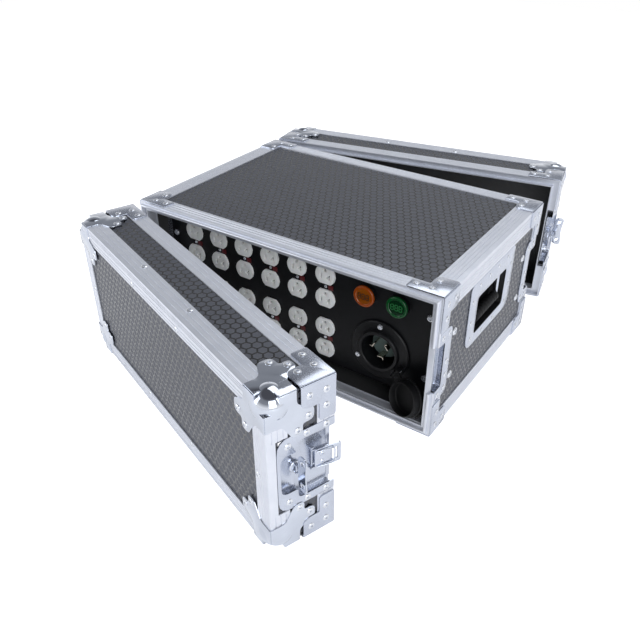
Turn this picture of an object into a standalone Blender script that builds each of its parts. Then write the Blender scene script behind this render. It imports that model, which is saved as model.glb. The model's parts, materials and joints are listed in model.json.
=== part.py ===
"""A rack power distribution box in a flight case, with both lids taken off and standing beside it.

Metres, +Z up, +X to the right as seen from the front, and the front faces -Y. The body is centred in X and Y,
and z = 0 is the outer face of its bottom edging. Each lid is built in its own frame, with y = 0 at its rim and
+Y into the lid, and is then set down on an empty that stands on its hinge line.
"""

from math import atan2, cos, pi, radians, sin

import bmesh
import bpy
from mathutils import Matrix, Vector

# Rack panel
PANEL_W = 0.4826
PANEL_H = 0.177
PANEL_T = 0.002
RACK_HOLE_INSET = 0.0087
RACK_HOLE_X = PANEL_W / 2 - RACK_HOLE_INSET
RACK_HOLE_Z = 0.0508
RACK_SLOT_W = 0.010
RACK_SLOT_H = 0.007

# Case, which is built round the panel
PANEL_SIDE_ROOM = 0.0237
PANEL_HEAD_ROOM = 0.0245
CASE_W = PANEL_W + 2 * PANEL_SIDE_ROOM
CASE_H = PANEL_H + 2 * PANEL_HEAD_ROOM
BODY_D = 0.352
LID_D = 0.089
PLY_T = 0.0095
FIT = 0.0003
SINK = 0.0004
OVER = 0.004

# Aluminium edging
METAL_T = 0.0015
ANGLE_LEG = 0.030
BODY_FLANGE = 0.025
BODY_WEB_T = 0.0025
BODY_LINER = 0.020
BEAD_INSET = 0.0038
BEAD_W = 0.005
BEAD_H = 0.0045
BEAD_ROUND = 0.0014
LID_FLANGE = 0.024
LID_LINER = 0.018
GROOVE_INSET = 0.0016
GROOVE_W = 0.0098
GROOVE_D = 0.0075
LID_ANGLE_SIDE = 0.027
LID_ANGLE_FACE = 0.026

# Corner braces and ball corners
BRACE_T = 0.002
BRACE_LONG = 0.054
BRACE_DEEP = 0.044
BRACE_W = 0.020
BRACE_EDGE_W = 0.027
BRACE_SEAT = 0.003
RIVET_R = 0.0045
RIVET_H = 0.0015
BALL_R = 0.0215
BALL_PROUD = BRACE_T + RIVET_H
SHELL_LAP = 0.0003

# Latches, keepers and the notches they sit in
DISH_H = 0.110
DISH_D = 0.077
DISH_LIP = 0.005
SHEET_T = 0.0011
KEEPER_H = 0.113
KEEPER_START = 0.0047
KEEPER_END = 0.040
KEEPER_POCKET_H = 0.075
KEEPER_POCKET_D = 0.0084
KEEPER_BAND = 0.0199
CATCH_T = 0.0012
CATCH_INSET = 0.0049
HOOK_W = 0.028
HOOK_T = 0.002
HOOK_PIVOT_D = 0.0265
HOOK_PIVOT_INSET = 0.0076
HOOK_BOSS_R = 0.0018
HOOK_BOSS_FOOT = 0.0014
HOOK_NOSE_T = 0.002
HOOK_BITE = 0.0019
HOOK_SWING = radians(10)
PIN_R = 0.0012
EAR_T = 0.0022
POST_WALL = 0.00075
HUB_R = 0.008
HUB_D = 0.0495
HUB_TOP_INSET = 0.006
WING_PIN_INSET = 0.0032
WING_T = 0.0016
WING_H = 0.052
WING_REACH = 0.0205
WING_KNUCKLE_W = 0.008
WING_KNUCKLE_R = 0.0018
# The rim of one wing lobe, as shares of the wing's reach and of half its height
WING_LOBE = ((0.42, 0.92), (0.62, 1.0), (0.88, 0.86), (1.0, 0.55), (0.86, 0.24))
WING_SHOULDER = 0.45

# Recessed handles
HANDLE_W = 0.153
HANDLE_H = 0.105
HANDLE_Y = -0.0025
HANDLE_DROP = 0.0015
HANDLE_Z = CASE_H - ANGLE_LEG - HANDLE_DROP - HANDLE_H / 2
HANDLE_WINDOW_W = 0.105
HANDLE_WINDOW_H = 0.062
HANDLE_WINDOW_DROP = 0.006
HANDLE_POCKET_D = 0.018
BAIL_R = 0.003
GRIP_R = 0.0075
GRIP_L = 0.080
BAIL_DROP = 0.037
BAIL_INSET = 0.0085
BAIL_HEADROOM = 0.0033

# Rails and chassis
RECESS = 0.040
RAIL_T = 0.002
RAIL_FACE_W = 0.028
RAIL_SIDE_D = 0.036
CHASSIS_SIDE_ROOM = 0.0233
CHASSIS_HEAD_ROOM = 0.0035
CHASSIS_W = PANEL_W - 2 * CHASSIS_SIDE_ROOM
CHASSIS_H = PANEL_H - 2 * CHASSIS_HEAD_ROOM
CHASSIS_T = 0.0012

# Outlets
COLUMNS = 6
COLUMN_PITCH = 0.0508
FIRST_COLUMN_INSET = 0.0508
FIRST_COLUMN_X = FIRST_COLUMN_INSET - PANEL_W / 2
ROW_Z = 0.04445
FACE_PITCH = 0.0389
FACE_W = 0.034
FACE_H = 0.0285
FACE_PROUD = 0.003
OUTLET_BACK_W = 0.036
OUTLET_BACK_H = 0.070
OUTLET_BACK_D = 0.028
YOKE_W = 0.014
YOKE_T = 0.0016
YOKE_BACK = 0.0016
OUTLET_BACK_GAP = 0.0022
SLOT_W = 0.002
SLOT_H = 0.0075
SLOT_X = 0.00635
SLOT_DROP = 0.0025
GROUND_R = 0.0025
GROUND_UP = 0.0075
SLOT_D = 0.009

# Meters
METER_XS = (0.1331, 0.1852)
METER_UP = 0.0555
METER_R = 0.0165
METER_PROUD = 0.011
METER_NECK_R = 0.0145
METER_NUT_R = 0.0168
METER_NUT_T = 0.005
METER_BACK_R = 0.0135
METER_BACK_D = 0.030
METER_SIDES = 20

# Inlet and its cover
INLET_X = 0.1592
INLET_DOWN = 0.0292
INLET_FLANGE_R = 0.048
INLET_FLANGE_T = 0.004
INLET_COLLAR_R = 0.033
INLET_COLLAR_H = 0.005
INLET_BORE_R = 0.0273
INLET_BORE_D = 0.034
INLET_WALL = 0.0022
INLET_BACK_T = 0.004
BLADES = 3
BLADE_RING_R = 0.0175
BLADE_W = 0.012
BLADE_T = 0.002
BLADE_L = 0.022
COVER_R = 0.029
COVER_T = 0.004
PLUG_GAP = 0.0007
PLUG_TAPER = 0.0012
PLUG_D = 0.010
PLUG_WALL = 0.0025
PLUG_FLOOR_T = 0.002
COVER_HINGE_R = 0.0395
COVER_HINGE_PROUD = 0.013
COVER_CLOCK = radians(-33)
COVER_OPEN = radians(157)
STRAP_W = 0.014
STRAP_T = 0.003
STRAP_R = 0.0022
STRAP_ROOT = 0.003

# Breakers
MAIN_X = 0.150
MAIN_W = 0.030
MAIN_H = 0.050
MAIN_D = 0.040
MAIN_BEZEL = 0.003
MAIN_BEZEL_T = 0.004
TOGGLE_R = 0.005
TOGGLE_W = 0.011
TOGGLE_REACH = 0.014
TOGGLE_T = 0.004
TOGGLE_TILT = radians(20)
BRANCH_W = 0.120
BRANCH_D = 0.070
BRANCH_H = 0.045
BRANCH_X = -0.040
BRANCH_Y = 0.055

# Where the lids stand
LID_GAP = 0.0004
FRONT_POLE = Vector((0.046, 0.0185))
FRONT_TURN = radians(-20.0)
REAR_POLE = Vector((0.050, 0.018))
REAR_TURN = radians(10.3)

# Places that follow from the sizes above
MID_Z = CASE_H / 2
PLY_IN = METAL_T + FIT
PLY_BACK = PLY_IN + PLY_T
LINER_IN = PLY_BACK + FIT
LINER_OUT = LINER_IN + METAL_T
GROOVE_FLOOR = GROOVE_D + METAL_T
PANEL_FRONT = -(BODY_D / 2 - RECESS)
PANEL_BACK = PANEL_FRONT + PANEL_T
BEHIND_PANEL = PANEL_BACK + FIT
REAR_FACE = BODY_D / 2 - RECESS
DISH_FLOOR = PLY_BACK - SHEET_T - 2 * FIT
SIDES = {"right": 1, "left": -1}


def fresh_scene():
    for obj in list(bpy.data.objects):
        bpy.data.objects.remove(obj, do_unlink=True)


def new_collection(name):
    found = bpy.data.collections.new(name)
    bpy.context.scene.collection.children.link(found)
    return found


def material(name, colour, roughness, metallic=0.0):
    made = bpy.data.materials.new(name)
    made.use_nodes = True
    surface = made.node_tree.nodes["Principled BSDF"]
    surface.inputs["Base Color"].default_value = (*colour, 1.0)
    surface.inputs["Roughness"].default_value = roughness
    surface.inputs["Metallic"].default_value = metallic
    made.diffuse_color = (*colour, 1.0)
    return made


fresh_scene()
PARTS = new_collection("power_distribution_box")
ALUMINIUM = material("ribbed aluminium", (0.62, 0.63, 0.65), 0.35, 1.0)
CHROME = material("chromed steel", (0.75, 0.75, 0.76), 0.15, 1.0)
ZINC = material("zinc plated sheet", (0.45, 0.46, 0.47), 0.4, 1.0)
LAMINATE = material("black laminate on plywood", (0.05, 0.05, 0.06), 0.55)
PAINTED = material("black painted steel", (0.012, 0.013, 0.015), 0.5)
NYLON = material("white nylon", (0.80, 0.79, 0.75), 0.4)
RUBBER = material("black rubber", (0.015, 0.015, 0.016), 0.75)
DARK_PLASTIC = material("dark plastic", (0.02, 0.02, 0.022), 0.5)
AMBER = material("amber meter", (0.75, 0.32, 0.02), 0.3)
GREEN = material("green meter", (0.02, 0.16, 0.08), 0.3)


def from_bmesh(mesh_data, name="piece"):
    bmesh.ops.recalc_face_normals(mesh_data, faces=mesh_data.faces)
    mesh = bpy.data.meshes.new(name)
    mesh_data.to_mesh(mesh)
    mesh_data.free()
    obj = bpy.data.objects.new(name, mesh)
    PARTS.objects.link(obj)
    return obj


def baked(obj):
    """The object with its modifiers or its curve made into a plain welded mesh, in place."""
    bpy.context.view_layer.update()
    graph = bpy.context.evaluated_depsgraph_get()
    mesh = bpy.data.meshes.new_from_object(obj.evaluated_get(graph))
    work = bmesh.new()
    work.from_mesh(mesh)
    bmesh.ops.remove_doubles(work, verts=work.verts, dist=1e-7)
    bmesh.ops.recalc_face_normals(work, faces=work.faces)
    work.to_mesh(mesh)
    work.free()
    mesh.transform(obj.matrix_world)
    bpy.data.objects.remove(obj, do_unlink=True)
    made = bpy.data.objects.new("piece", mesh)
    PARTS.objects.link(made)
    return made


def box(low, high):
    """A box between two corners."""
    low = Vector(low)
    high = Vector(high)
    work = bmesh.new()
    size = Matrix.Diagonal((*(high - low), 1.0))
    bmesh.ops.create_cube(work, size=1.0, matrix=Matrix.Translation((low + high) / 2) @ size)
    return from_bmesh(work)


def spanning(a, b):
    """A box between any two opposite corners."""
    return box(Vector(map(min, a, b)), Vector(map(max, a, b)))


def rod(radius, start, end, sides=16):
    """A round bar from one point to another."""
    start = Vector(start)
    end = Vector(end)
    way = end - start
    turn = way.to_track_quat("Z", "Y").to_matrix().to_4x4()
    place = Matrix.Translation((start + end) / 2) @ turn
    work = bmesh.new()
    bmesh.ops.create_cone(
        work, cap_ends=True, segments=sides, radius1=radius, radius2=radius, depth=way.length, matrix=place
    )
    return from_bmesh(work)


def turned(profile, steps, place):
    """A solid of revolution, from (radius, height) points down its outer side, from the axis to the axis."""
    mesh = bpy.data.meshes.new("profile")
    points = [(radius, 0.0, height) for radius, height in profile]
    mesh.from_pydata(points, [(i, i + 1) for i in range(len(points) - 1)], [])
    obj = bpy.data.objects.new("profile", mesh)
    PARTS.objects.link(obj)
    screw = obj.modifiers.new("turn", "SCREW")
    screw.steps = steps
    screw.render_steps = steps
    screw.use_merge_vertices = True
    screw.merge_threshold = 0.00001
    obj.matrix_world = place
    return baked(obj)


def slab(outline, low, high, place=None):
    """A flat outline in X and Y, given thickness from z = low to z = high, then moved by a matrix."""
    curve = bpy.data.curves.new("outline", "CURVE")
    curve.dimensions = "2D"
    curve.fill_mode = "BOTH"
    curve.extrude = (high - low) / 2
    spline = curve.splines.new("POLY")
    spline.points.add(len(outline) - 1)
    for point, (x, y) in zip(spline.points, outline):
        point.co = (x, y, 0.0, 1.0)
    spline.use_cyclic_u = True
    obj = bpy.data.objects.new("outline", curve)
    PARTS.objects.link(obj)
    obj.matrix_world = (place or Matrix()) @ Matrix.Translation((0, 0, (low + high) / 2))
    return baked(obj)


def combined(obj, others, operation):
    """The object after one exact Boolean with each of the others, which are used up."""
    for other in others:
        step = obj.modifiers.new(operation.lower(), "BOOLEAN")
        step.operation = operation
        step.solver = "EXACT"
        step.object = other
    made = baked(obj)
    for other in others:
        bpy.data.objects.remove(other, do_unlink=True)
    return made


def cut(obj, *cutters):
    return combined(obj, cutters, "DIFFERENCE")


def joined(obj, *others):
    return combined(obj, others, "UNION")


def ring(section):
    """A mitred frame round the case outline, from a section of (inset, depth) points."""
    work = bmesh.new()
    loops = []
    for side_x, side_z in ((1, 1), (-1, 1), (-1, -1), (1, -1)):
        loop = []
        for inset, depth in section:
            x = side_x * (CASE_W / 2 - inset)
            z = MID_Z + side_z * (MID_Z - inset)
            loop.append(work.verts.new((x, depth, z)))
        loops.append(loop)
    count = len(section)
    for corner in range(4):
        here = loops[corner]
        there = loops[(corner + 1) % 4]
        for i in range(count):
            j = (i + 1) % count
            work.faces.new((here[i], here[j], there[j], there[i]))
    return from_bmesh(work)


def smooth(obj):
    obj.data.shade_smooth()
    obj.data.set_sharp_from_angle(angle=radians(35))


def name_piece(obj, name, surface):
    obj.name = name
    obj.data.name = name
    obj.data.materials.clear()
    obj.data.materials.append(surface)
    smooth(obj)
    return obj


def empty(name, location, turn=0.0, parent=None):
    made = bpy.data.objects.new(name, None)
    PARTS.objects.link(made)
    made.empty_display_size = 0.02
    made.parent = parent
    made.location = location
    made.rotation_euler = (0.0, 0.0, turn)
    return made


def copy_of(obj, name):
    made = bpy.data.objects.new(name, obj.data)
    PARTS.objects.link(made)
    return made


def set_at(obj, parent, location=(0, 0, 0), rotation=(0, 0, 0)):
    obj.parent = parent
    obj.location = location
    obj.rotation_euler = rotation
    return obj


# Turns that set a piece built for the right-hand front corner at the other ends of the case.
TURNS = {
    ("right", "front"): (0.0, 0.0, 0.0),
    ("left", "front"): (0.0, pi, 0.0),
    ("right", "rear"): (pi, 0.0, 0.0),
    ("left", "rear"): (0.0, 0.0, pi),
}


def braced(frame):
    """A rim frame with an L-shaped brace bent round each corner, and the rivet heads that it stands on."""
    added = []
    start = FIT
    rim_end = start + BRACE_W
    past = BRACE_LONG + OVER
    for side_x in (1, -1):
        for side_z in (1, -1):

            def at(x, y, z):
                return Vector((side_x * (CASE_W / 2 - x), y, MID_Z + side_z * (MID_Z - z)))

            brace = cut(
                spanning(at(-BRACE_T, start, -BRACE_T), at(BRACE_LONG, BRACE_DEEP, BRACE_LONG)),
                spanning(at(-FIT, -OVER, -FIT), at(past, past, past)),
                spanning(at(BRACE_EDGE_W, rim_end, -OVER), at(past, past, past)),
                spanning(at(-OVER, rim_end, BRACE_EDGE_W), at(past, past, past)),
            )
            near = start + BRACE_SEAT
            seat_end = BRACE_LONG - BRACE_SEAT
            added.append(brace)
            added.append(spanning(at(near, near, -FIT - SINK), at(seat_end, rim_end - BRACE_SEAT, SINK)))
            added.append(spanning(at(-FIT - SINK, near, near), at(SINK, rim_end - BRACE_SEAT, seat_end)))
            if side_z < 0:
                for x, y in brace_rivets(start):
                    added.append(rod(RIVET_R, at(x, y, SINK - BRACE_T), at(x, y, -BALL_PROUD), 8))
    return joined(frame, *added)


def brace_rivets(start):
    """Rivet places on one face of a brace, from its corner: along the rim, near it, and along the edge."""
    near = BRACE_EDGE_W - BRACE_W / 2 + FIT
    return (
        (BRACE_LONG - BRACE_W / 2, start + BRACE_W / 2),
        (near, start + BRACE_W / 2),
        (near, BRACE_DEEP - BRACE_W / 2),
    )


def side_boxes(inset_low, inset_high, y_low, y_high, half_h):
    """One box at each end of the case, between two insets and two depths, about mid-height."""
    made = []
    for side in SIDES.values():
        xs = sorted((side * (CASE_W / 2 - inset_low), side * (CASE_W / 2 - inset_high)))
        made.append(box((xs[0], y_low, MID_Z - half_h), (xs[1], y_high, MID_Z + half_h)))
    return made


def build_body_panels():
    half_w = CASE_W / 2
    half_d = BODY_D / 2 - BODY_WEB_T - FIT
    bare_x = half_w - ANGLE_LEG - FIT
    bare_y = BODY_D / 2 - BODY_FLANGE - FIT
    for name, up in (("bottom_panel", -1), ("top_panel", 1)):

        def height(inset):
            return MID_Z + up * (MID_Z - inset)

        # Between the edging the panel stands level with the backs of the flanges.
        wide = half_w - PLY_IN
        panel = spanning((-wide, -half_d, height(PLY_IN)), (wide, half_d, height(PLY_BACK)))
        bare = spanning((-bare_x, -bare_y, height(METAL_T)), (bare_x, bare_y, height(PLY_BACK - SINK)))
        name_piece(joined(panel, bare), name, LAMINATE)
    for side_name, side in SIDES.items():
        xs = sorted((side * (half_w - PLY_BACK), side * (half_w - PLY_IN)))
        low_z = PLY_BACK + FIT
        wall = box((xs[0], -half_d, low_z), (xs[1], half_d, CASE_H - low_z))
        hole_y = HANDLE_WINDOW_W / 2 + SHEET_T + FIT
        hole_z = HANDLE_WINDOW_H / 2 + SHEET_T + FIT
        window_z = HANDLE_Z - HANDLE_WINDOW_DROP
        cutters = [
            box(
                (xs[0] - OVER, HANDLE_Y - hole_y, window_z - hole_z),
                (xs[1] + OVER, HANDLE_Y + hole_y, window_z + hole_z),
            )
        ]
        rebate = KEEPER_POCKET_D + SHEET_T + FIT
        rebate_x = sorted((side * (half_w - rebate), side * (half_w + OVER)))
        for end in (-1, 1):
            ys = sorted((end * (BODY_D / 2 - KEEPER_END + KEEPER_BAND - FIT), end * (BODY_D / 2 + OVER)))
            tall = KEEPER_POCKET_H / 2 + FIT
            cutters.append(box((rebate_x[0], ys[0], MID_Z - tall), (rebate_x[1], ys[1], MID_Z + tall)))
        name_piece(cut(wall, *cutters), f"{side_name}_side_panel", LAMINATE)


def build_edge_angles():
    length = BODY_D / 2 - BODY_FLANGE - FIT
    outline = (
        (0.0, 0.0),
        (ANGLE_LEG, 0.0),
        (ANGLE_LEG, METAL_T),
        (METAL_T, METAL_T),
        (METAL_T, ANGLE_LEG),
        (0.0, ANGLE_LEG),
    )
    along_y = Matrix.Rotation(radians(90), 4, "X")
    angle = name_piece(slab(outline, -length, length, along_y), "bottom_left_edge_angle", ALUMINIUM)
    set_at(angle, None, (-CASE_W / 2, 0, 0))
    places = {
        "top_left_edge_angle": ((-CASE_W / 2, 0, CASE_H), radians(90)),
        "top_right_edge_angle": ((CASE_W / 2, 0, CASE_H), radians(180)),
        "bottom_right_edge_angle": ((CASE_W / 2, 0, 0), radians(270)),
    }
    for name, (location, turn) in places.items():
        set_at(copy_of(angle, name), None, location, (0, turn, 0))


def build_body_rims():
    bead_end = BEAD_INSET + BEAD_W
    section = (
        (0.0, 0.0),
        (BEAD_INSET, 0.0),
        (BEAD_INSET, BEAD_ROUND - BEAD_H),
        (BEAD_INSET + BEAD_ROUND, -BEAD_H),
        (bead_end - BEAD_ROUND, -BEAD_H),
        (bead_end, BEAD_ROUND - BEAD_H),
        (bead_end, 0.0),
        (LINER_OUT, 0.0),
        (LINER_OUT, BODY_LINER),
        (LINER_IN, BODY_LINER),
        (LINER_IN, BODY_WEB_T),
        (METAL_T, BODY_WEB_T),
        (METAL_T, BODY_FLANGE),
        (0.0, BODY_FLANGE),
    )
    frame = braced(ring(section))
    gap = KEEPER_POCKET_H / 2 + FIT
    notches = [
        *side_boxes(-OVER, METAL_T + FIT / 2, KEEPER_START - FIT, BODY_FLANGE + OVER, KEEPER_H / 2 + FIT),
        *side_boxes(-OVER, CATCH_INSET + FIT, -BEAD_H - OVER, KEEPER_START, gap),
        *side_boxes(CATCH_INSET, bead_end + SINK, -BEAD_H - OVER, FIT / 2, gap),
    ]
    frame = name_piece(cut(frame, *notches), "front_rim_frame", ALUMINIUM)
    set_at(frame, None, (0, -BODY_D / 2, 0))
    set_at(copy_of(frame, "rear_rim_frame"), None, (0, BODY_D / 2, 0), (0, 0, pi))


def build_keepers():
    """A shallow pocket plate that the latch's claw hooks into, built for the right-hand front end."""
    half = KEEPER_POCKET_H / 2
    plate = box((-METAL_T, KEEPER_START, -KEEPER_H / 2), (-FIT, KEEPER_END, KEEPER_H / 2))
    far = KEEPER_END - KEEPER_BAND
    shell = box((-KEEPER_POCKET_D - SHEET_T, KEEPER_START, -half), (-METAL_T + SINK, far, half))
    hollow = box(
        (-KEEPER_POCKET_D, KEEPER_START + CATCH_T, -half + SHEET_T),
        (OVER, far - SHEET_T, half - SHEET_T),
    )
    mouth_half = half - SHEET_T
    mouth = box((-CATCH_INSET, KEEPER_START - OVER, -mouth_half), (OVER, KEEPER_START + OVER, mouth_half))
    keeper = name_piece(cut(joined(plate, shell), hollow, mouth), "front_right_keeper", ZINC)
    for side_name, end in TURNS:
        y = -BODY_D / 2 if end == "front" else BODY_D / 2
        place = (SIDES[side_name] * CASE_W / 2, y, MID_Z)
        name = f"{end}_{side_name}_keeper"
        piece = keeper if name == keeper.name else copy_of(keeper, name)
        set_at(piece, None, place, TURNS[side_name, end])


def build_handles():
    """A pressed dish with a hanging bail, built facing +X about the middle of its window."""
    half_w = HANDLE_WINDOW_W / 2
    half_h = HANDLE_WINDOW_H / 2
    up = HANDLE_WINDOW_DROP
    plate = box((FIT - PLY_IN, -HANDLE_W / 2, up - HANDLE_H / 2), (0.0, HANDLE_W / 2, up + HANDLE_H / 2))
    shell = box(
        (-HANDLE_POCKET_D - SHEET_T, -half_w - SHEET_T, -half_h - SHEET_T),
        (-SINK, half_w + SHEET_T, half_h + SHEET_T),
    )
    hollow = box((-HANDLE_POCKET_D, -half_w, -half_h), (OVER, half_w, half_h))
    dish = name_piece(cut(joined(plate, shell), hollow), "right_handle_dish", ZINC)

    reach = half_w - FIT
    arm = GRIP_L / 2 + BAIL_R
    route = [(-reach, 0.0), (-arm, 0.0), (-arm, -BAIL_DROP), (arm, -BAIL_DROP), (arm, 0.0), (reach, 0.0)]
    curve = bpy.data.curves.new("bail", "CURVE")
    curve.dimensions = "3D"
    curve.bevel_depth = BAIL_R
    curve.bevel_resolution = 2
    curve.use_fill_caps = True
    spline = curve.splines.new("POLY")
    spline.points.add(len(route) - 1)
    for point, (y, z) in zip(spline.points, route):
        point.co = (0.0, y, z, 1.0)
    wire = bpy.data.objects.new("bail", curve)
    PARTS.objects.link(wire)
    grip = rod(GRIP_R, (0, -GRIP_L / 2, -BAIL_DROP), (0, GRIP_L / 2, -BAIL_DROP), 14)
    bail = name_piece(joined(baked(wire), grip), "right_handle_bail", RUBBER)

    bail_up = half_h - BAIL_R - BAIL_HEADROOM
    for side_name, side in SIDES.items():
        turn = (0, 0, 0 if side > 0 else pi)
        place = Vector((side * CASE_W / 2, HANDLE_Y, HANDLE_Z - HANDLE_WINDOW_DROP))
        hinge = place + Vector((-side * BAIL_INSET, 0, bail_up))
        set_at(dish if side > 0 else copy_of(dish, "left_handle_dish"), None, place, turn)
        set_at(bail if side > 0 else copy_of(bail, "left_handle_bail"), None, hinge, turn)


def build_rails():
    low_z = MID_Z - PANEL_H / 2
    high_z = MID_Z + PANEL_H / 2
    outer = CASE_W / 2 - LINER_IN
    for side_name, side in SIDES.items():
        outline = (
            (side * outer, BEHIND_PANEL),
            (side * (outer - RAIL_FACE_W), BEHIND_PANEL),
            (side * (outer - RAIL_FACE_W), BEHIND_PANEL + RAIL_T),
            (side * (outer - RAIL_T), BEHIND_PANEL + RAIL_T),
            (side * (outer - RAIL_T), BEHIND_PANEL + RAIL_SIDE_D),
            (side * outer, BEHIND_PANEL + RAIL_SIDE_D),
        )
        rail = slab(outline, low_z, high_z)
        holes = []
        for up in (RACK_HOLE_Z, -RACK_HOLE_Z):
            start = (side * RACK_HOLE_X, BEHIND_PANEL - OVER, MID_Z + up)
            end = (side * RACK_HOLE_X, BEHIND_PANEL + 2 * OVER, MID_Z + up)
            holes.append(rod(RACK_SLOT_H / 2, start, end, 8))
        name_piece(cut(rail, *holes), f"{side_name}_rack_rail", ZINC)


def face_outline(grow=0.0):
    """An outlet's face: round at the sides, flat above and below."""
    half_h = FACE_H / 2 + grow
    radius = FACE_W / 2 + grow
    lean = atan2(half_h, (radius * radius - half_h * half_h) ** 0.5)
    right = [(radius * cos(lean * k / 2), radius * sin(lean * k / 2)) for k in (-2, -1, 0, 1, 2)]
    left = [(-x, -y) for x, y in right]
    return right + left


def outlet_places():
    """(column, x, z) of each outlet face's centre."""
    for column in range(COLUMNS):
        for row in (1, -1):
            for face in (1, -1):
                x = FIRST_COLUMN_X + column * COLUMN_PITCH
                yield column, x, MID_Z + row * ROW_Z + face * FACE_PITCH / 2


def facing_front(x, z):
    """Sets a shape drawn in X and Y upright in the panel, with its thickness running back from the front."""
    return Matrix.Translation((x, 0, z)) @ Matrix.Rotation(radians(90), 4, "X")


def build_front_panel():
    low = (-PANEL_W / 2, PANEL_FRONT, MID_Z - PANEL_H / 2)
    high = (PANEL_W / 2, PANEL_BACK, MID_Z + PANEL_H / 2)
    holes = []
    for _, x, z in outlet_places():
        holes.append(slab(face_outline(FIT), -PANEL_BACK - OVER, -PANEL_FRONT + OVER, facing_front(x, z)))
    front = PANEL_FRONT - OVER
    back = PANEL_BACK + OVER
    for x in METER_XS:
        z = MID_Z + METER_UP
        holes.append(rod(METER_NECK_R + FIT, (x, front, z), (x, back, z), 16))
    z = MID_Z - INLET_DOWN
    holes.append(rod(INLET_BORE_R + INLET_WALL + FIT, (INLET_X, front, z), (INLET_X, back, z), 28))
    for side in (1, -1):
        for up in (1, -1):
            x = side * RACK_HOLE_X
            z = MID_Z + up * RACK_HOLE_Z
            half = (RACK_SLOT_W / 2, RACK_SLOT_H / 2)
            holes.append(box((x - half[0], front, z - half[1]), (x + half[0], back, z + half[1])))
    name_piece(cut(box(low, high), *holes), "front_panel", PAINTED)


def build_outlets():
    """Six columns of two duplex outlets, each column on one yoke behind the panel."""
    back = BEHIND_PANEL + OUTLET_BACK_D
    for column in range(COLUMNS):
        x = FIRST_COLUMN_X + column * COLUMN_PITCH
        yoke_y = (BEHIND_PANEL + YOKE_BACK, BEHIND_PANEL + YOKE_BACK + YOKE_T)
        half = ROW_Z + OUTLET_BACK_H / 2
        body = box((x - YOKE_W / 2, yoke_y[0], MID_Z - half), (x + YOKE_W / 2, yoke_y[1], MID_Z + half))
        added = []
        slots = []
        for row in (1, -1):
            z = MID_Z + row * ROW_Z
            tall = OUTLET_BACK_H / 2 - OUTLET_BACK_GAP / 2
            low = (x - OUTLET_BACK_W / 2, BEHIND_PANEL, z - tall)
            high = (x + OUTLET_BACK_W / 2, back, z + tall)
            added.append(box(low, high))
        for place_column, _, z in outlet_places():
            if place_column != column:
                continue
            face_front = PANEL_FRONT - FACE_PROUD
            added.append(slab(face_outline(), -BEHIND_PANEL - SINK, -face_front, facing_front(x, z)))
            deep = face_front + SLOT_D
            for side in (1, -1):
                middle = x + side * SLOT_X
                low = (middle - SLOT_W / 2, face_front - OVER, z - SLOT_DROP - SLOT_H / 2)
                high = (middle + SLOT_W / 2, deep, z - SLOT_DROP + SLOT_H / 2)
                slots.append(box(low, high))
            up = z + GROUND_UP
            slots.append(rod(GROUND_R, (x, face_front - OVER, up), (x, deep, up), 6))
        outlets = cut(joined(body, *added), *slots)
        name_piece(outlets, f"outlet_column_{column + 1}", NYLON)


def build_meters():
    """Round digital meters: a bezel before the panel, a neck through it, and a nut and body behind."""
    proud = METER_PROUD
    chamfer = METAL_T
    behind = -PANEL_T - FIT
    profile = (
        (0.0, proud),
        (METER_R - chamfer, proud),
        (METER_R, proud - chamfer),
        (METER_R, FIT),
        (METER_NECK_R, FIT),
        (METER_NECK_R, behind),
        (METER_NUT_R, behind),
        (METER_NUT_R, behind - METER_NUT_T),
        (METER_BACK_R, behind - METER_NUT_T),
        (METER_BACK_R, behind - METER_BACK_D),
        (0.0, behind - METER_BACK_D),
    )
    facing = Matrix.Rotation(radians(90), 4, "X")
    for x, name, lens in zip(METER_XS, ("amber_meter", "green_meter"), (AMBER, GREEN)):
        meter = name_piece(turned(profile, METER_SIDES, facing), name, lens)
        set_at(meter, None, (x, PANEL_FRONT, MID_Z + METER_UP))


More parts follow.
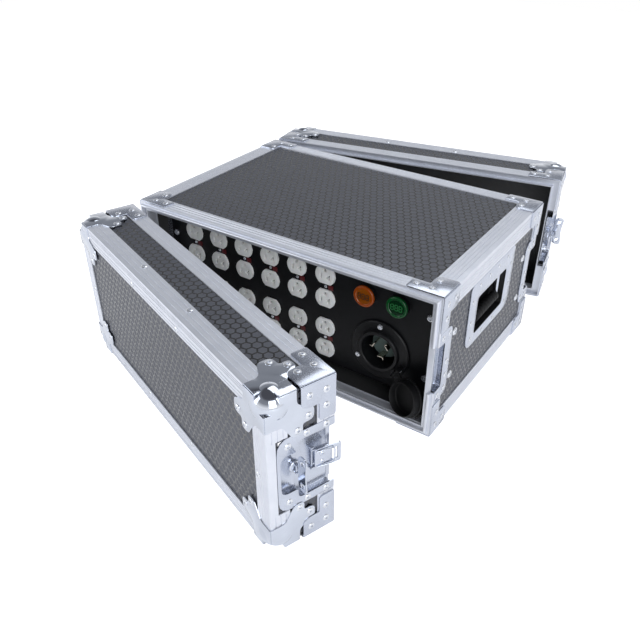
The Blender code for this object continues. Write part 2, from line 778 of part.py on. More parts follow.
def build_inlet():
    """A flanged locking inlet with blades in its bore, and the rubber cover that hangs open by its strap."""
    collar = INLET_FLANGE_T + INLET_COLLAR_H
    floor = collar - INLET_BORE_D
    back = floor - INLET_BACK_T
    outer = INLET_BORE_R + INLET_WALL
    profile = (
        (0.0, floor),
        (INLET_BORE_R, floor),
        (INLET_BORE_R, collar),
        (INLET_COLLAR_R, collar),
        (INLET_COLLAR_R, INLET_FLANGE_T),
        (INLET_FLANGE_R, INLET_FLANGE_T),
        (INLET_FLANGE_R, FIT),
        (outer, FIT),
        (outer, back),
        (0.0, back),
    )
    facing = Matrix.Rotation(radians(90), 4, "X")
    inlet = turned(profile, 28, facing)
    blades = []
    for index in range(BLADES):
        blade = box(
            (BLADE_RING_R - BLADE_T / 2, -floor - BLADE_L, -BLADE_W / 2),
            (BLADE_RING_R + BLADE_T / 2, -floor + SINK, BLADE_W / 2),
        )
        blade.data.transform(Matrix.Rotation(2 * pi * index / BLADES, 4, "Y"))
        blades.append(blade)

    # The hinge frame: X along the hinge, Y back towards the panel, Z from the hinge to the inlet's axis.
    centre = Vector((INLET_X, PANEL_FRONT, MID_Z - INLET_DOWN))
    outward = Vector((cos(COVER_CLOCK), 0, sin(COVER_CLOCK)))
    pivot = outward * COVER_HINGE_R - Vector((0, COVER_HINGE_PROUD, 0))
    lean = -COVER_CLOCK - pi / 2
    hinge_frame = Matrix.Translation(pivot) @ Matrix.Rotation(lean, 4, "Y")
    pin_end = STRAP_W / 2 + FIT + EAR_T
    lugs = []
    for side in (1, -1):
        xs = sorted((side * (STRAP_W / 2 + FIT), side * pin_end))
        foot = COVER_HINGE_PROUD - INLET_FLANGE_T + SINK
        round_pin = STRAP_R + PIN_R
        lug = box((xs[0], -round_pin, -round_pin), (xs[1], foot, round_pin))
        lug.data.transform(hinge_frame)
        lugs.append(lug)
    bore = rod(PIN_R + FIT, (-pin_end - OVER, 0, 0), (pin_end + OVER, 0, 0), 8)
    bore.data.transform(hinge_frame)
    inlet = name_piece(cut(joined(inlet, *blades, *lugs), bore), "inlet", DARK_PLASTIC)
    set_at(inlet, None, centre)

    under = collar + FIT - COVER_HINGE_PROUD
    top = under + COVER_T
    plug = INLET_BORE_R - PLUG_GAP
    tip = plug - PLUG_TAPER
    cap = (
        (0.0, top),
        (COVER_R - METAL_T, top),
        (COVER_R, top - METAL_T),
        (COVER_R, under),
        (plug, under),
        (tip, under - PLUG_D),
        (tip - PLUG_WALL, under - PLUG_D),
        (tip - PLUG_WALL, top - PLUG_FLOOR_T),
        (0.0, top - PLUG_FLOOR_T),
    )
    cup = turned(cap, 28, Matrix.Translation((0, 0, COVER_HINGE_R)) @ facing)
    strap_end = COVER_HINGE_R - COVER_R + STRAP_ROOT
    strap = box((-STRAP_W / 2, -STRAP_T / 2, 0.0), (STRAP_W / 2, STRAP_T / 2, strap_end))
    barrel = rod(STRAP_R, (-STRAP_W / 2, 0, 0), (STRAP_W / 2, 0, 0), 10)
    pin = rod(PIN_R, (-pin_end, 0, 0), (pin_end, 0, 0), 8)
    cover = name_piece(joined(cup, strap, barrel, pin), "inlet_cover", RUBBER)
    frame = empty("inlet_cover_hinge", centre + pivot)
    frame.rotation_euler = (0.0, lean, 0.0)
    set_at(cover, frame, (0, 0, 0), (COVER_OPEN, 0, 0))


def build_chassis():
    """A folded tray behind the panel that holds the wiring, with its rear wall, and a plate that closes it."""
    half = CHASSIS_W / 2
    low_z = MID_Z - CHASSIS_H / 2
    high_z = MID_Z + CHASSIS_H / 2
    tray = box((-half, BEHIND_PANEL, low_z), (half, REAR_FACE, high_z))
    hollow = box(
        (-half + CHASSIS_T, BEHIND_PANEL - OVER, low_z + CHASSIS_T),
        (half - CHASSIS_T, REAR_FACE - CHASSIS_T, high_z + OVER),
    )
    hole = (MAIN_W / 2 + FIT, MAIN_H / 2 + FIT)
    window = box(
        (MAIN_X - hole[0], REAR_FACE - OVER, MID_Z - hole[1]),
        (MAIN_X + hole[0], REAR_FACE + OVER, MID_Z + hole[1]),
    )
    name_piece(cut(tray, hollow, window), "chassis", ZINC)
    lid = box((-half, BEHIND_PANEL, high_z + FIT), (half, REAR_FACE, high_z + FIT + CHASSIS_T))
    name_piece(lid, "chassis_cover", ZINC)

    floor = low_z + CHASSIS_T + FIT
    branch = box(
        (BRANCH_X - BRANCH_W / 2, BRANCH_Y - BRANCH_D / 2, floor),
        (BRANCH_X + BRANCH_W / 2, BRANCH_Y + BRANCH_D / 2, floor + BRANCH_H),
    )
    name_piece(branch, "branch_breakers", DARK_PLASTIC)

    half_w = MAIN_W / 2
    half_h = MAIN_H / 2
    body = box(
        (MAIN_X - half_w, REAR_FACE - MAIN_D, MID_Z - half_h),
        (MAIN_X + half_w, REAR_FACE + MAIN_BEZEL_T - SINK, MID_Z + half_h),
    )
    bezel = box(
        (MAIN_X - half_w - MAIN_BEZEL, REAR_FACE + FIT, MID_Z - half_h - MAIN_BEZEL),
        (MAIN_X + half_w + MAIN_BEZEL, REAR_FACE + MAIN_BEZEL_T, MID_Z + half_h + MAIN_BEZEL),
    )
    slot_w = TOGGLE_W / 2 + FIT
    slot_h = TOGGLE_R + TOGGLE_REACH * sin(TOGGLE_TILT)
    slot = box(
        (MAIN_X - slot_w, REAR_FACE - TOGGLE_R - FIT, MID_Z - slot_h),
        (MAIN_X + slot_w, REAR_FACE + MAIN_BEZEL_T + OVER, MID_Z + slot_h),
    )
    name_piece(cut(joined(body, bezel), slot), "main_breaker", PAINTED)

    barrel = rod(TOGGLE_R, (-TOGGLE_W / 2, 0, 0), (TOGGLE_W / 2, 0, 0), 12)
    lever = box((-TOGGLE_W / 2 + SINK, 0, -TOGGLE_T / 2), (TOGGLE_W / 2 - SINK, TOGGLE_REACH, TOGGLE_T / 2))
    toggle = name_piece(joined(barrel, lever), "main_breaker_toggle", NYLON)
    set_at(toggle, None, (MAIN_X, REAR_FACE, MID_Z), (-TOGGLE_TILT, 0, 0))


def lid_corner_boxes(reach, y_low, y_high):
    """A box at each of a lid's four outer corners, reaching in from beyond the corner."""
    made = []
    for side_x in (1, -1):
        for side_z in (1, -1):
            xs = sorted((side_x * (CASE_W / 2 + OVER), side_x * (CASE_W / 2 - reach)))
            zs = sorted((MID_Z + side_z * (MID_Z + OVER), MID_Z + side_z * (MID_Z - reach)))
            made.append(box((xs[0], y_low, zs[0]), (xs[1], y_high, zs[1])))
    return made


def ball_corner(side_x, side_z):
    """A ball corner: a sphere let into the lid's corner, less what would lie in the plywood."""
    deep = BALL_R - BALL_PROUD
    centre = Vector((side_x * (CASE_W / 2 - deep), LID_D - deep, MID_Z + side_z * (MID_Z - deep)))
    work = bmesh.new()
    place = Matrix.Translation(centre)
    bmesh.ops.create_uvsphere(work, u_segments=14, v_segments=9, radius=BALL_R, matrix=place)
    ball = from_bmesh(work)
    shoulder = deep - METAL_T + SHELL_LAP
    far = 2 * BALL_R
    away = Vector((-side_x, -1, -side_z))
    cutters = []
    for axis in range(3):
        near = [-shoulder, -shoulder, -shoulder]
        near[axis] = -FIT
        a = centre + Vector([away[i] * near[i] for i in range(3)])
        b = centre + away * far
        cutters.append(spanning(a, b))
    return cut(ball, *cutters)


def build_lid_shell():
    """The four pieces of a lid, in the lid's own frame."""
    half_w = CASE_W / 2
    deep = BALL_R - BALL_PROUD
    pocket_half = DISH_H / 2 - DISH_LIP + SHEET_T + FIT
    pocket_end = DISH_D - DISH_LIP + SHEET_T + FIT
    face_back = LID_D - PLY_BACK

    face = box((-half_w + PLY_IN, face_back, PLY_IN), (half_w - PLY_IN, LID_D - PLY_IN, CASE_H - PLY_IN))
    face = cut(face, *lid_corner_boxes(deep, LID_D - deep, LID_D + OVER))

    low = GROOVE_FLOOR + FIT
    high = face_back - FIT
    walls = ring(((PLY_IN, low), (PLY_BACK, low), (PLY_BACK, high), (PLY_IN, high)))
    walls = cut(
        walls,
        *side_boxes(-OVER, PLY_BACK + OVER, low - OVER, pocket_end, pocket_half),
        *lid_corner_boxes(deep, LID_D - deep, LID_D + OVER),
    )

    section = (
        (0.0, LID_D - LID_ANGLE_SIDE),
        (METAL_T, LID_D - LID_ANGLE_SIDE),
        (METAL_T, LID_D - METAL_T),
        (LID_ANGLE_FACE, LID_D - METAL_T),
        (LID_ANGLE_FACE, LID_D),
        (0.0, LID_D),
    )
    edge = cut(
        ring(section),
        *side_boxes(-OVER, METAL_T + FIT / 2, LID_D - LID_ANGLE_SIDE - OVER, DISH_D + FIT, DISH_H / 2 + FIT),
        *lid_corner_boxes(deep - FIT - SHELL_LAP, LID_D - deep + FIT + SHELL_LAP, LID_D + OVER),
    )
    edge = joined(edge, *(ball_corner(x, z) for x in (1, -1) for z in (1, -1)))

    groove_end = GROOVE_INSET + GROOVE_W
    section = (
        (0.0, 0.0),
        (GROOVE_INSET, 0.0),
        (GROOVE_INSET, GROOVE_D),
        (groove_end, GROOVE_D),
        (groove_end, 0.0),
        (LINER_OUT, 0.0),
        (LINER_OUT, LID_LINER),
        (LINER_IN, LID_LINER),
        (LINER_IN, GROOVE_FLOOR),
        (METAL_T, GROOVE_FLOOR),
        (METAL_T, LID_FLANGE),
        (0.0, LID_FLANGE),
    )
    rim = braced(ring(section))
    notch_in = DISH_FLOOR + SHEET_T + FIT
    rim = cut(rim, *side_boxes(-OVER, notch_in, -OVER, LID_FLANGE + OVER, DISH_H / 2 + FIT))
    return {
        "face_panel": name_piece(face, "face", LAMINATE),
        "walls": name_piece(walls, "walls", LAMINATE),
        "edge_frame": name_piece(edge, "edge", ALUMINIUM),
        "rim_frame": name_piece(rim, "rim", ALUMINIUM),
    }


def build_latch():
    """The four pieces of a right-hand latch: X points out of the end, Y into the lid, z = 0 is the middle."""
    half = DISH_H / 2
    pocket = half - DISH_LIP
    pocket_end = DISH_D - DISH_LIP
    plate = box((-METAL_T, FIT, -half), (-FIT, DISH_D, half))
    wall = pocket + SHEET_T
    shell = box((-DISH_FLOOR - SHEET_T, FIT, -wall), (SINK - METAL_T, pocket_end + SHEET_T, wall))
    hollow = box((-DISH_FLOOR, -OVER, -pocket), (OVER, pocket_end, pocket))
    # The closed lid's dish straddles the bead of the body's rim.
    bead_way = box((-BEAD_INSET - BEAD_W - 2 * FIT, -OVER, -half), (-GROOVE_INSET, GROOVE_D, half))
    dish = cut(joined(plate, shell), hollow, bead_way)
    ears = []
    for side in (1, -1):
        zs = sorted((side * (HOOK_W / 2 + FIT), side * (HOOK_W / 2 + FIT + EAR_T)))
        reach = HOOK_BOSS_R + POST_WALL
        low = (-DISH_FLOOR - SINK, HOOK_PIVOT_D - reach, zs[0])
        high = (reach - HOOK_PIVOT_INSET, HOOK_PIVOT_D + reach, zs[1])
        ears.append(box(low, high))
    dish = joined(dish, *ears)
    pin_half = HOOK_W / 2 + FIT + EAR_T
    pivot = (-HOOK_PIVOT_INSET, HOOK_PIVOT_D)
    dish = cut(dish, rod(PIN_R + FIT, (*pivot, -pin_half - OVER), (*pivot, pin_half + OVER), 8))

    knuckle = WING_KNUCKLE_W / 2
    hub_x = -DISH_FLOOR + FIT
    hub = rod(HUB_R, (hub_x, 0, 0), (-HUB_TOP_INSET, 0, 0), 16)
    reach = WING_KNUCKLE_R + POST_WALL
    posts = []
    for side in (1, -1):
        zs = sorted((side * (knuckle + FIT), side * (knuckle + FIT + EAR_T)))
        posts.append(box((-HUB_TOP_INSET - SINK, -reach, zs[0]), (reach - WING_PIN_INSET, reach, zs[1])))
    hub = joined(hub, *posts)
    bore_end = knuckle + FIT + EAR_T + OVER
    bore = rod(PIN_R + FIT, (-WING_PIN_INSET, 0, -bore_end), (-WING_PIN_INSET, 0, bore_end), 8)
    hub = cut(hub, bore)

    # Hook, drawn locked about its pivot: u runs into the lid and v runs outward.
    under = HOOK_PIVOT_INSET - CATCH_INSET + FIT
    over = under + HOOK_T
    tip = -(HOOK_PIVOT_D + LID_GAP + KEEPER_START + CATCH_T + FIT + HOOK_NOSE_T)
    boss = HOOK_BOSS_R
    outline = (
        (boss, 0.0),
        (boss, under - SINK),
        (-boss, over),
        (tip, over),
        (tip, under - FIT - HOOK_BITE),
        (tip + HOOK_NOSE_T, under - FIT - HOOK_BITE),
        (tip + HOOK_NOSE_T, under),
        (-2 * boss, under),
        (-boss, 0.0),
        (-boss / 2, -HOOK_BOSS_FOOT),
        (boss / 2, -HOOK_BOSS_FOOT),
    )
    swap = Matrix(((0, 1, 0, 0), (1, 0, 0, 0), (0, 0, -1, 0), (0, 0, 0, 1)))
    hook = slab(outline, -HOOK_W / 2, HOOK_W / 2, swap)
    hook = joined(hook, rod(PIN_R, (0, 0, -pin_half), (0, 0, pin_half), 8))

    # Wing, drawn folded flat about its pin: s runs into the lid from the pin, t along the pin.
    neck = WING_KNUCKLE_W / 2
    # The lobes begin just past the posts' corners, which they sweep over as the wing folds.
    start = 2**0.5 * reach + FIT
    lobe = WING_H / 2
    upper = (
        (0.0, neck),
        (start, neck),
        (start, lobe * WING_SHOULDER),
        *((WING_REACH * along, lobe * across) for along, across in WING_LOBE),
    )
    lower = tuple((s, -t) for s, t in reversed(upper))
    flat = Matrix(((0, 0, 1, 0), (1, 0, 0, 0), (0, 1, 0, 0), (0, 0, 0, 1)))
    wing = slab(upper + lower, -WING_T / 2, WING_T / 2, flat)
    knuckle_rod = rod(WING_KNUCKLE_R, (0, 0, -knuckle), (0, 0, knuckle), 10)
    pin = rod(PIN_R, (0, 0, -knuckle - FIT - EAR_T), (0, 0, knuckle + FIT + EAR_T), 8)
    wing = joined(wing, knuckle_rod, pin)
    return {
        "latch_dish": name_piece(dish, "dish", ZINC),
        "latch_hub": name_piece(hub, "hub", CHROME),
        "latch_hook": name_piece(hook, "hook", ZINC),
        "latch_wing": name_piece(wing, "wing", CHROME),
    }


def build_lids():
    shell = build_lid_shell()
    latch = build_latch()
    half_w = CASE_W / 2
    poles = {
        "front": (Vector((-half_w - FRONT_POLE.x, -BODY_D / 2 - LID_GAP - FRONT_POLE.y)), FRONT_TURN, pi),
        "rear": (Vector((-half_w - REAR_POLE.x, BODY_D / 2 + LID_GAP + REAR_POLE.y)), REAR_TURN, 0.0),
    }
    rims = {
        "front": Vector((0.0, -BODY_D / 2 - LID_GAP)),
        "rear": Vector((0.0, BODY_D / 2 + LID_GAP)),
    }
    for lid, (pole, turn, facing) in poles.items():
        hinge = empty(f"{lid}_lid_hinge", (*pole, 0.0), turn)
        frame = empty(f"{lid}_lid_frame", (*(rims[lid] - pole), 0.0), facing, hinge)
        for piece, obj in shell.items():
            set_at(copy_of(obj, f"{lid}_lid_{piece}"), frame)
        for side_name, side in SIDES.items():
            # Facing the other way round, the lid's own right-hand end is the object's left.
            own = side if lid == "rear" else -side
            place = (own * half_w, 0.0, MID_Z)
            mount = empty(f"{lid}_{side_name}_latch_mount", place, 0.0, frame)
            mount.rotation_euler = (0.0, 0.0 if own > 0 else pi, 0.0)
            stem = f"{lid}_{side_name}_"
            set_at(copy_of(latch["latch_dish"], stem + "latch_dish"), mount)
            set_at(copy_of(latch["latch_hub"], stem + "latch_hub"), mount, (0, HUB_D, 0))
            hook = copy_of(latch["latch_hook"], stem + "latch_hook")
            set_at(hook, mount, (-HOOK_PIVOT_INSET, HOOK_PIVOT_D, 0), (0, 0, HOOK_SWING))
            wing = copy_of(latch["latch_wing"], stem + "latch_wing")
            set_at(wing, mount, (-WING_PIN_INSET, HUB_D, 0), (0, 0, -pi / 2))
    for obj in (*shell.values(), *latch.values()):
        bpy.data.objects.remove(obj, do_unlink=True)


build_body_panels()
build_edge_angles()
build_body_rims()
build_keepers()
build_handles()
build_rails()
build_front_panel()
build_outlets()
build_meters()
build_inlet()
build_chassis()
build_lids()
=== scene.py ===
"""Looks of a rack power distribution box in a flight case, whose two lids stand beside it."""

import json
from math import asin, cos, pi, radians, sin, tan

import bmesh
import bpy
from mathutils import Matrix, Vector


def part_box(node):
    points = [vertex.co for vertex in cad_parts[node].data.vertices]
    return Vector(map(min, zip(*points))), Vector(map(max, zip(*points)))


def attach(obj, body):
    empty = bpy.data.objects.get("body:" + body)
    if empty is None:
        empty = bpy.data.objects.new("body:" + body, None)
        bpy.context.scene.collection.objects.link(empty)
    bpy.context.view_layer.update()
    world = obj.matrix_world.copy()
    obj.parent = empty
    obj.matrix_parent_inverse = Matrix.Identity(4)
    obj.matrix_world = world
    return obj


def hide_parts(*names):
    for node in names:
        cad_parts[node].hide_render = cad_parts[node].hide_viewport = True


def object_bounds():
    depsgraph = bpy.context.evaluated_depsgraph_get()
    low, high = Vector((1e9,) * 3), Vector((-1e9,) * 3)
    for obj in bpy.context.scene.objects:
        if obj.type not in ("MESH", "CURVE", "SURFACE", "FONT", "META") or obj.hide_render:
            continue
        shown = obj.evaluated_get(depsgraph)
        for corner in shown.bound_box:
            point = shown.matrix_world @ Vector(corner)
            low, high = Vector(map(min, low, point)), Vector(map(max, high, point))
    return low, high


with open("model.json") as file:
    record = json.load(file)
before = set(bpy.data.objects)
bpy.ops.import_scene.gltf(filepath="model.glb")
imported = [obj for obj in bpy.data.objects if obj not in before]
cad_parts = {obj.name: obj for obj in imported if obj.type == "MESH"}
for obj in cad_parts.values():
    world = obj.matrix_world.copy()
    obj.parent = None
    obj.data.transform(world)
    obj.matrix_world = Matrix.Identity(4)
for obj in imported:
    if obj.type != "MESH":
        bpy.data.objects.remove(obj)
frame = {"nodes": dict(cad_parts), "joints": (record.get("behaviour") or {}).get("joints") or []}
cad_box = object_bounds()
nodes = frame["nodes"]

# Studio
# A white table under one broad lamp from the right, a weaker one from the left and one overhead. Bright metal
# mirrors a white surround that turns grey above it, as it does on a table in a dim room.
TABLE_SIZE = 7.0
TABLE_GLOW = 0.22
MIRRORED_GLOW = 0.15
CAMERA_GLOW = 0.85
AIM = Vector((0.0, 0.0, 0.1))
WHITE = (1.0, 1.0, 1.0, 1.0)


def srgb(code):
    """The linear RGBA of an sRGB hex colour."""
    channels = [int(code[i : i + 2], 16) / 255 for i in (0, 2, 4)]
    return (*(c / 12.92 if c <= 0.04045 else ((c + 0.055) / 1.055) ** 2.4 for c in channels), 1.0)


def fill(tree, node, sockets):
    """Fills a node's sockets with values, with outputs, or with the first output of other nodes."""
    for socket, value in dict(sockets).items():
        if isinstance(value, bpy.types.Node):
            value = value.outputs[0]
        if isinstance(value, bpy.types.NodeSocket):
            tree.links.new(value, node.inputs[socket])
        else:
            node.inputs[socket].default_value = value


def add_node(tree, kind, sockets=(), **settings):
    """Adds a shader node, sets it and fills its sockets."""
    made = tree.nodes.new("ShaderNode" + kind)
    for name, value in settings.items():
        setattr(made, name, value)
    fill(tree, made, sockets)
    return made


def blank_tree(owner):
    """The emptied node tree of a world or a material."""
    owner.use_nodes = True
    owner.node_tree.nodes.clear()
    return owner.node_tree


def mesh_of(shape, name="shape"):
    """Turns a bmesh into a mesh."""
    mesh = bpy.data.meshes.new(name)
    shape.to_mesh(mesh)
    shape.free()
    return mesh


def at(x, y, z):
    """The place at a point."""
    return Matrix.Translation((x, y, z))


def set_out(name, data):
    """Puts a mesh, a lamp or a camera into the scene as an object."""
    made = bpy.data.objects.new(name, data)
    bpy.context.scene.collection.objects.link(made)
    return made


world = bpy.data.worlds.new("studio")
bpy.context.scene.world = world
sky = blank_tree(world)
rays = add_node(sky, "LightPath").outputs
way = add_node(sky, "TexCoord")
height = add_node(sky, "SeparateXYZ", {0: way.outputs["Generated"]})
room = add_node(sky, "ValToRGB", {0: height.outputs["Z"]})
greys = room.color_ramp.elements
greys[0].position = 0.06
greys[0].color = WHITE
greys[1].position = 0.42
greys[1].color = (0.30, 0.31, 0.33, 1.0)
greys.new(0.66).color = (0.26, 0.27, 0.29, 1.0)
greys.new(0.80).color = (0.09, 0.09, 0.10, 1.0)
mirrored = add_node(sky, "Background", {"Color": room, "Strength": 1.0})
ambient = add_node(sky, "Background", {"Color": (0.94, 0.96, 1.0, 1.0), "Strength": 0.42})
white = add_node(sky, "Background", {"Color": WHITE, "Strength": 1.0})
seen = add_node(sky, "Math", {0: rays["Is Glossy Ray"], 1: rays["Is Transmission Ray"]})
reflected = add_node(sky, "MixShader", {0: seen, 1: ambient, 2: mirrored})
shown = add_node(sky, "MixShader", {0: rays["Is Camera Ray"], 1: reflected, 2: white})
add_node(sky, "OutputWorld", {0: shown})

table = bmesh.new()
ground = at(0, 0, cad_box[0].z)
bmesh.ops.create_grid(table, x_segments=1, y_segments=1, size=TABLE_SIZE / 2, matrix=ground)
floor = set_out("table", mesh_of(table, "table"))
# White to the camera and bright in reflections, but a plain matt surface for the shadow.
paper = bpy.data.materials.new("white paper")
sheet = blank_tree(paper)
rays = add_node(sheet, "LightPath").outputs
lit = add_node(sheet, "BsdfDiffuse", {"Color": (0.80, 0.80, 0.81, 1.0)})
dim = {0: rays["Is Glossy Ray"], 1: MIRRORED_GLOW, 2: TABLE_GLOW}
dim = add_node(sheet, "Math", dim, operation="MULTIPLY_ADD")
lift = add_node(sheet, "Math", {0: rays["Is Camera Ray"], 1: CAMERA_GLOW, 2: dim}, operation="MULTIPLY_ADD")
glow = add_node(sheet, "Emission", {"Color": WHITE, "Strength": lift})
both = add_node(sheet, "AddShader", {0: lit, 1: glow})
add_node(sheet, "OutputMaterial", {0: both})
floor.data.materials.append(paper)

for name, place, size, watts in (
    ("key", (1.8, -1.5, 1.1), 1.5, 21.0),
    ("fill", (-1.7, -1.7, 1.0), 1.6, 15.0),
    ("overhead", (0.1, 0.9, 2.0), 1.6, 14.0),
):
    lamp = bpy.data.lights.new(name, "AREA")
    lamp.size = size
    lamp.energy = watts
    lamp.color = (0.93, 0.96, 1.0)
    stand = set_out(name, lamp)
    stand.location = place
    stand.rotation_euler = (AIM - Vector(place)).to_track_quat("-Z", "Y").to_euler()

# Camera
# Stands in front of the case, to its right and above it. Its distance, angles and side shifts come from the
# 482.6 mm rack panel and the 50.8 mm outlet pitch as they appear in the photograph.
PHOTO_SIDE = 640
FOCAL_PIXELS = 692.4
SENSOR = 36.0
DISTANCE = 1.1631
AZIMUTH = radians(34.39)
ELEVATION = radians(33.14)
SHIFT_RIGHT = -0.0328
SHIFT_UP = -0.0818
forward = Vector((-sin(AZIMUTH) * cos(ELEVATION), cos(AZIMUTH) * cos(ELEVATION), -sin(ELEVATION)))
rightward = Vector((cos(AZIMUTH), sin(AZIMUTH), 0.0))
upward = rightward.cross(forward)
lens = bpy.data.cameras.new("camera")
lens.sensor_width = SENSOR
lens.lens = SENSOR * FOCAL_PIXELS / PHOTO_SIDE
camera = set_out("camera", lens)
looking_in = Matrix((rightward, upward, -forward)).transposed().to_4x4()
tripod = AIM - forward * DISTANCE + rightward * SHIFT_RIGHT + upward * SHIFT_UP
camera.matrix_world = at(*tripod) @ looking_in
bpy.context.scene.camera = camera
bpy.context.scene.view_settings.view_transform = "Standard"

# Case panels
# 9.5 mm plywood faced with black phenolic laminate, whose skin is embossed with 12 mm hexagons: matt grained
# cells between smooth glossy grooves. The insides are painted black.
half_w, _, case_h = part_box("top_right_edge_angle")[1]
mid_z = case_h / 2
HALF_D = 0.176
LID_D = 0.089
HEX_ACROSS = 0.0119
GROOVE_W = 0.0023
GROOVE_SOFT = 0.0002
HINGE_LINES = {joint["child"]: joint["pos_m"] for joint in frame["joints"]}


def turned(angle, axis):
    """A turn about an axis."""
    return Matrix.Rotation(angle, 4, axis)


def set_finish(material, **sockets):
    """Fills sockets of a material's Principled shader, whose names have _ for a space."""
    tree = material.node_tree
    named = {name.replace("_", " "): value for name, value in sockets.items()}
    fill(tree, tree.nodes["Principled BSDF"], named)


def new_surface(name, colour, roughness, metallic=0.0, **sockets):
    """A Principled material with its plain values set."""
    made = bpy.data.materials.new(name)
    made.use_nodes = True
    set_finish(made, Base_Color=srgb(colour), Roughness=roughness, Metallic=metallic, **sockets)
    return made


def laminate(name, turn, centre):
    """The hexagon skin of a box turned about Z, round a centre that tells its outside from its inside."""
    made = new_surface(name, "2e2f33", 0.55, IOR=1.6, Specular_IOR_Level=1.0)
    tree = made.node_tree
    where = add_node(tree, "TexCoord").outputs
    local = add_node(tree, "VectorRotate", {0: where["Object"], "Angle": -turn}, rotation_type="Z_AXIS")
    facing = add_node(tree, "VectorRotate", {0: where["Normal"], "Angle": -turn}, rotation_type="Z_AXIS")
    away = add_node(tree, "VectorMath", {0: local, 1: centre}, operation="SUBTRACT")
    outness = add_node(tree, "VectorMath", {0: away, 1: facing}, operation="DOT_PRODUCT")
    outside = add_node(tree, "Math", {0: outness.outputs["Value"], 1: 0.0}, operation="GREATER_THAN")
    point = add_node(tree, "SeparateXYZ", {0: away}).outputs
    normal = add_node(tree, "VectorMath", {0: facing}, operation="ABSOLUTE")
    sides = add_node(tree, "SeparateXYZ", {0: normal}).outputs
    # On an end the pattern runs along Y in place of X, and on the top along Y in place of Z.
    flat = add_node(tree, "CombineXYZ")
    for index, axis in enumerate("XZ"):
        faced = add_node(tree, "Math", {0: sides[axis], 1: 0.5}, operation="GREATER_THAN")
        fill(tree, flat, {index: add_node(tree, "Mix", {0: faced, 2: point[axis], 3: point["Y"]})})
    # Two grids of hexagon centres, each half a cell from the other: the nearer centre owns the point.
    half = (HEX_ACROSS / 2, HEX_ACROSS * 3**0.5 / 2, 1.0)
    low = tuple(-value for value in half)
    moved = add_node(tree, "VectorMath", {0: flat, 1: (*half[:2], 0.0)}, operation="ADD")
    first = add_node(tree, "VectorMath", {0: flat, 1: half, 2: low}, operation="WRAP")
    second = add_node(tree, "VectorMath", {0: moved, 1: half, 2: low}, operation="WRAP")
    near = add_node(tree, "VectorMath", {0: first}, operation="LENGTH").outputs["Value"]
    far = add_node(tree, "VectorMath", {0: second}, operation="LENGTH").outputs["Value"]
    pick = add_node(tree, "Math", {0: far, 1: near}, operation="LESS_THAN")
    cell = add_node(tree, "Mix", {0: pick, 4: first, 5: second}, data_type="VECTOR")
    folded = add_node(tree, "VectorMath", {0: cell.outputs[1]}, operation="ABSOLUTE")
    lean = add_node(tree, "VectorMath", {0: folded, 1: (0.5, 3**0.5 / 2, 0.0)}, operation="DOT_PRODUCT")
    straight = add_node(tree, "SeparateXYZ", {0: folded})
    reach = {0: straight.outputs["X"], 1: lean.outputs["Value"]}
    reach = add_node(tree, "Math", reach, operation="MAXIMUM")
    cell_edge = (HEX_ACROSS - GROOVE_W) / 2
    groove = add_node(tree, "MapRange", {0: reach, 1: cell_edge - GROOVE_SOFT, 2: cell_edge + GROOVE_SOFT})
    # The cells' grain is about half a millimetre, with slow worn patches a few centimetres across.
    grain = add_node(tree, "TexNoise", {"Vector": where["Object"], "Scale": 1600.0, "Detail": 3.0})
    patches = add_node(tree, "TexNoise", {"Vector": where["Object"], "Scale": 28.0, "Detail": 4.0})
    cells = add_node(tree, "Mix", {0: grain, 6: srgb("282a34"), 7: srgb("404452")}, data_type="RGBA")
    worn = add_node(tree, "Mix", {0: patches, 6: cells.outputs[2], 7: srgb("3d414e")}, data_type="RGBA")
    skin = add_node(tree, "Mix", {0: groove, 6: worn.outputs[2], 7: srgb("050506")}, data_type="RGBA")
    colour = add_node(tree, "Mix", {0: outside, 6: srgb("141415"), 7: skin.outputs[2]}, data_type="RGBA")
    gloss = add_node(tree, "MapRange", {0: groove, 3: 0.60, 4: 0.10})
    rough = add_node(tree, "Mix", {0: outside, 2: 0.7, 3: gloss})
    sunk = add_node(tree, "Math", {0: groove, 1: -0.6, 2: grain}, operation="MULTIPLY_ADD")
    relief = add_node(tree, "Bump", {"Strength": 0.35, "Distance": 0.0003, "Height": sunk})
    set_finish(made, Base_Color=colour.outputs[2], Roughness=rough, Normal=relief)
    return made


def refinish(material, *names):
    """Gives CAD solids their own material."""
    for name in names:
        nodes[name].data.materials.clear()
        nodes[name].data.materials.append(material)


# Each lid stands turned on a line beside its left end. From there its middle is so far along and behind, and
# it faces forward or back. Its own X runs along it, y = 0 is its rim and +Y points to its outer face.
LIDS = {}
for lid, swing, along, behind, facing in (
    ("front", -20.0, 0.046, 0.0185, pi),
    ("rear", 10.3, 0.050, -0.018, 0.0),
):
    line = at(*HINGE_LINES[f"{lid}_lid"]) @ turned(radians(swing), "Z")
    LIDS[lid] = line @ at(half_w + along, behind, 0.0) @ turned(facing, "Z")
body_skin = laminate("embossed phenolic plywood, body", 0.0, (0.0, 0.0, mid_z))
refinish(body_skin, "top_panel", "bottom_panel", "left_side_panel", "right_side_panel")
for lid, place in LIDS.items():
    middle = place.to_3x3().transposed() @ (place @ Vector((0.0, LID_D / 3, mid_z)))
    lid_skin = laminate(f"embossed phenolic plywood, {lid} lid", place.to_euler().z, middle)
    refinish(lid_skin, f"{lid}_lid_face_panel", f"{lid}_lid_walls")

# Rivets
# Tinned steel tubular rivets, 9 mm across, with a domed flange and the mandrel's hole in the middle. They are
# punched through edging, braces and plates, so each of those pieces carries its own.
RIVET_R = 0.0045
RIVET_H = 0.0015
SMALL_RIVET_R = 0.0033
SMALL_RIVET_H = 0.0012
AS_DRAWN = Matrix.Identity(4)


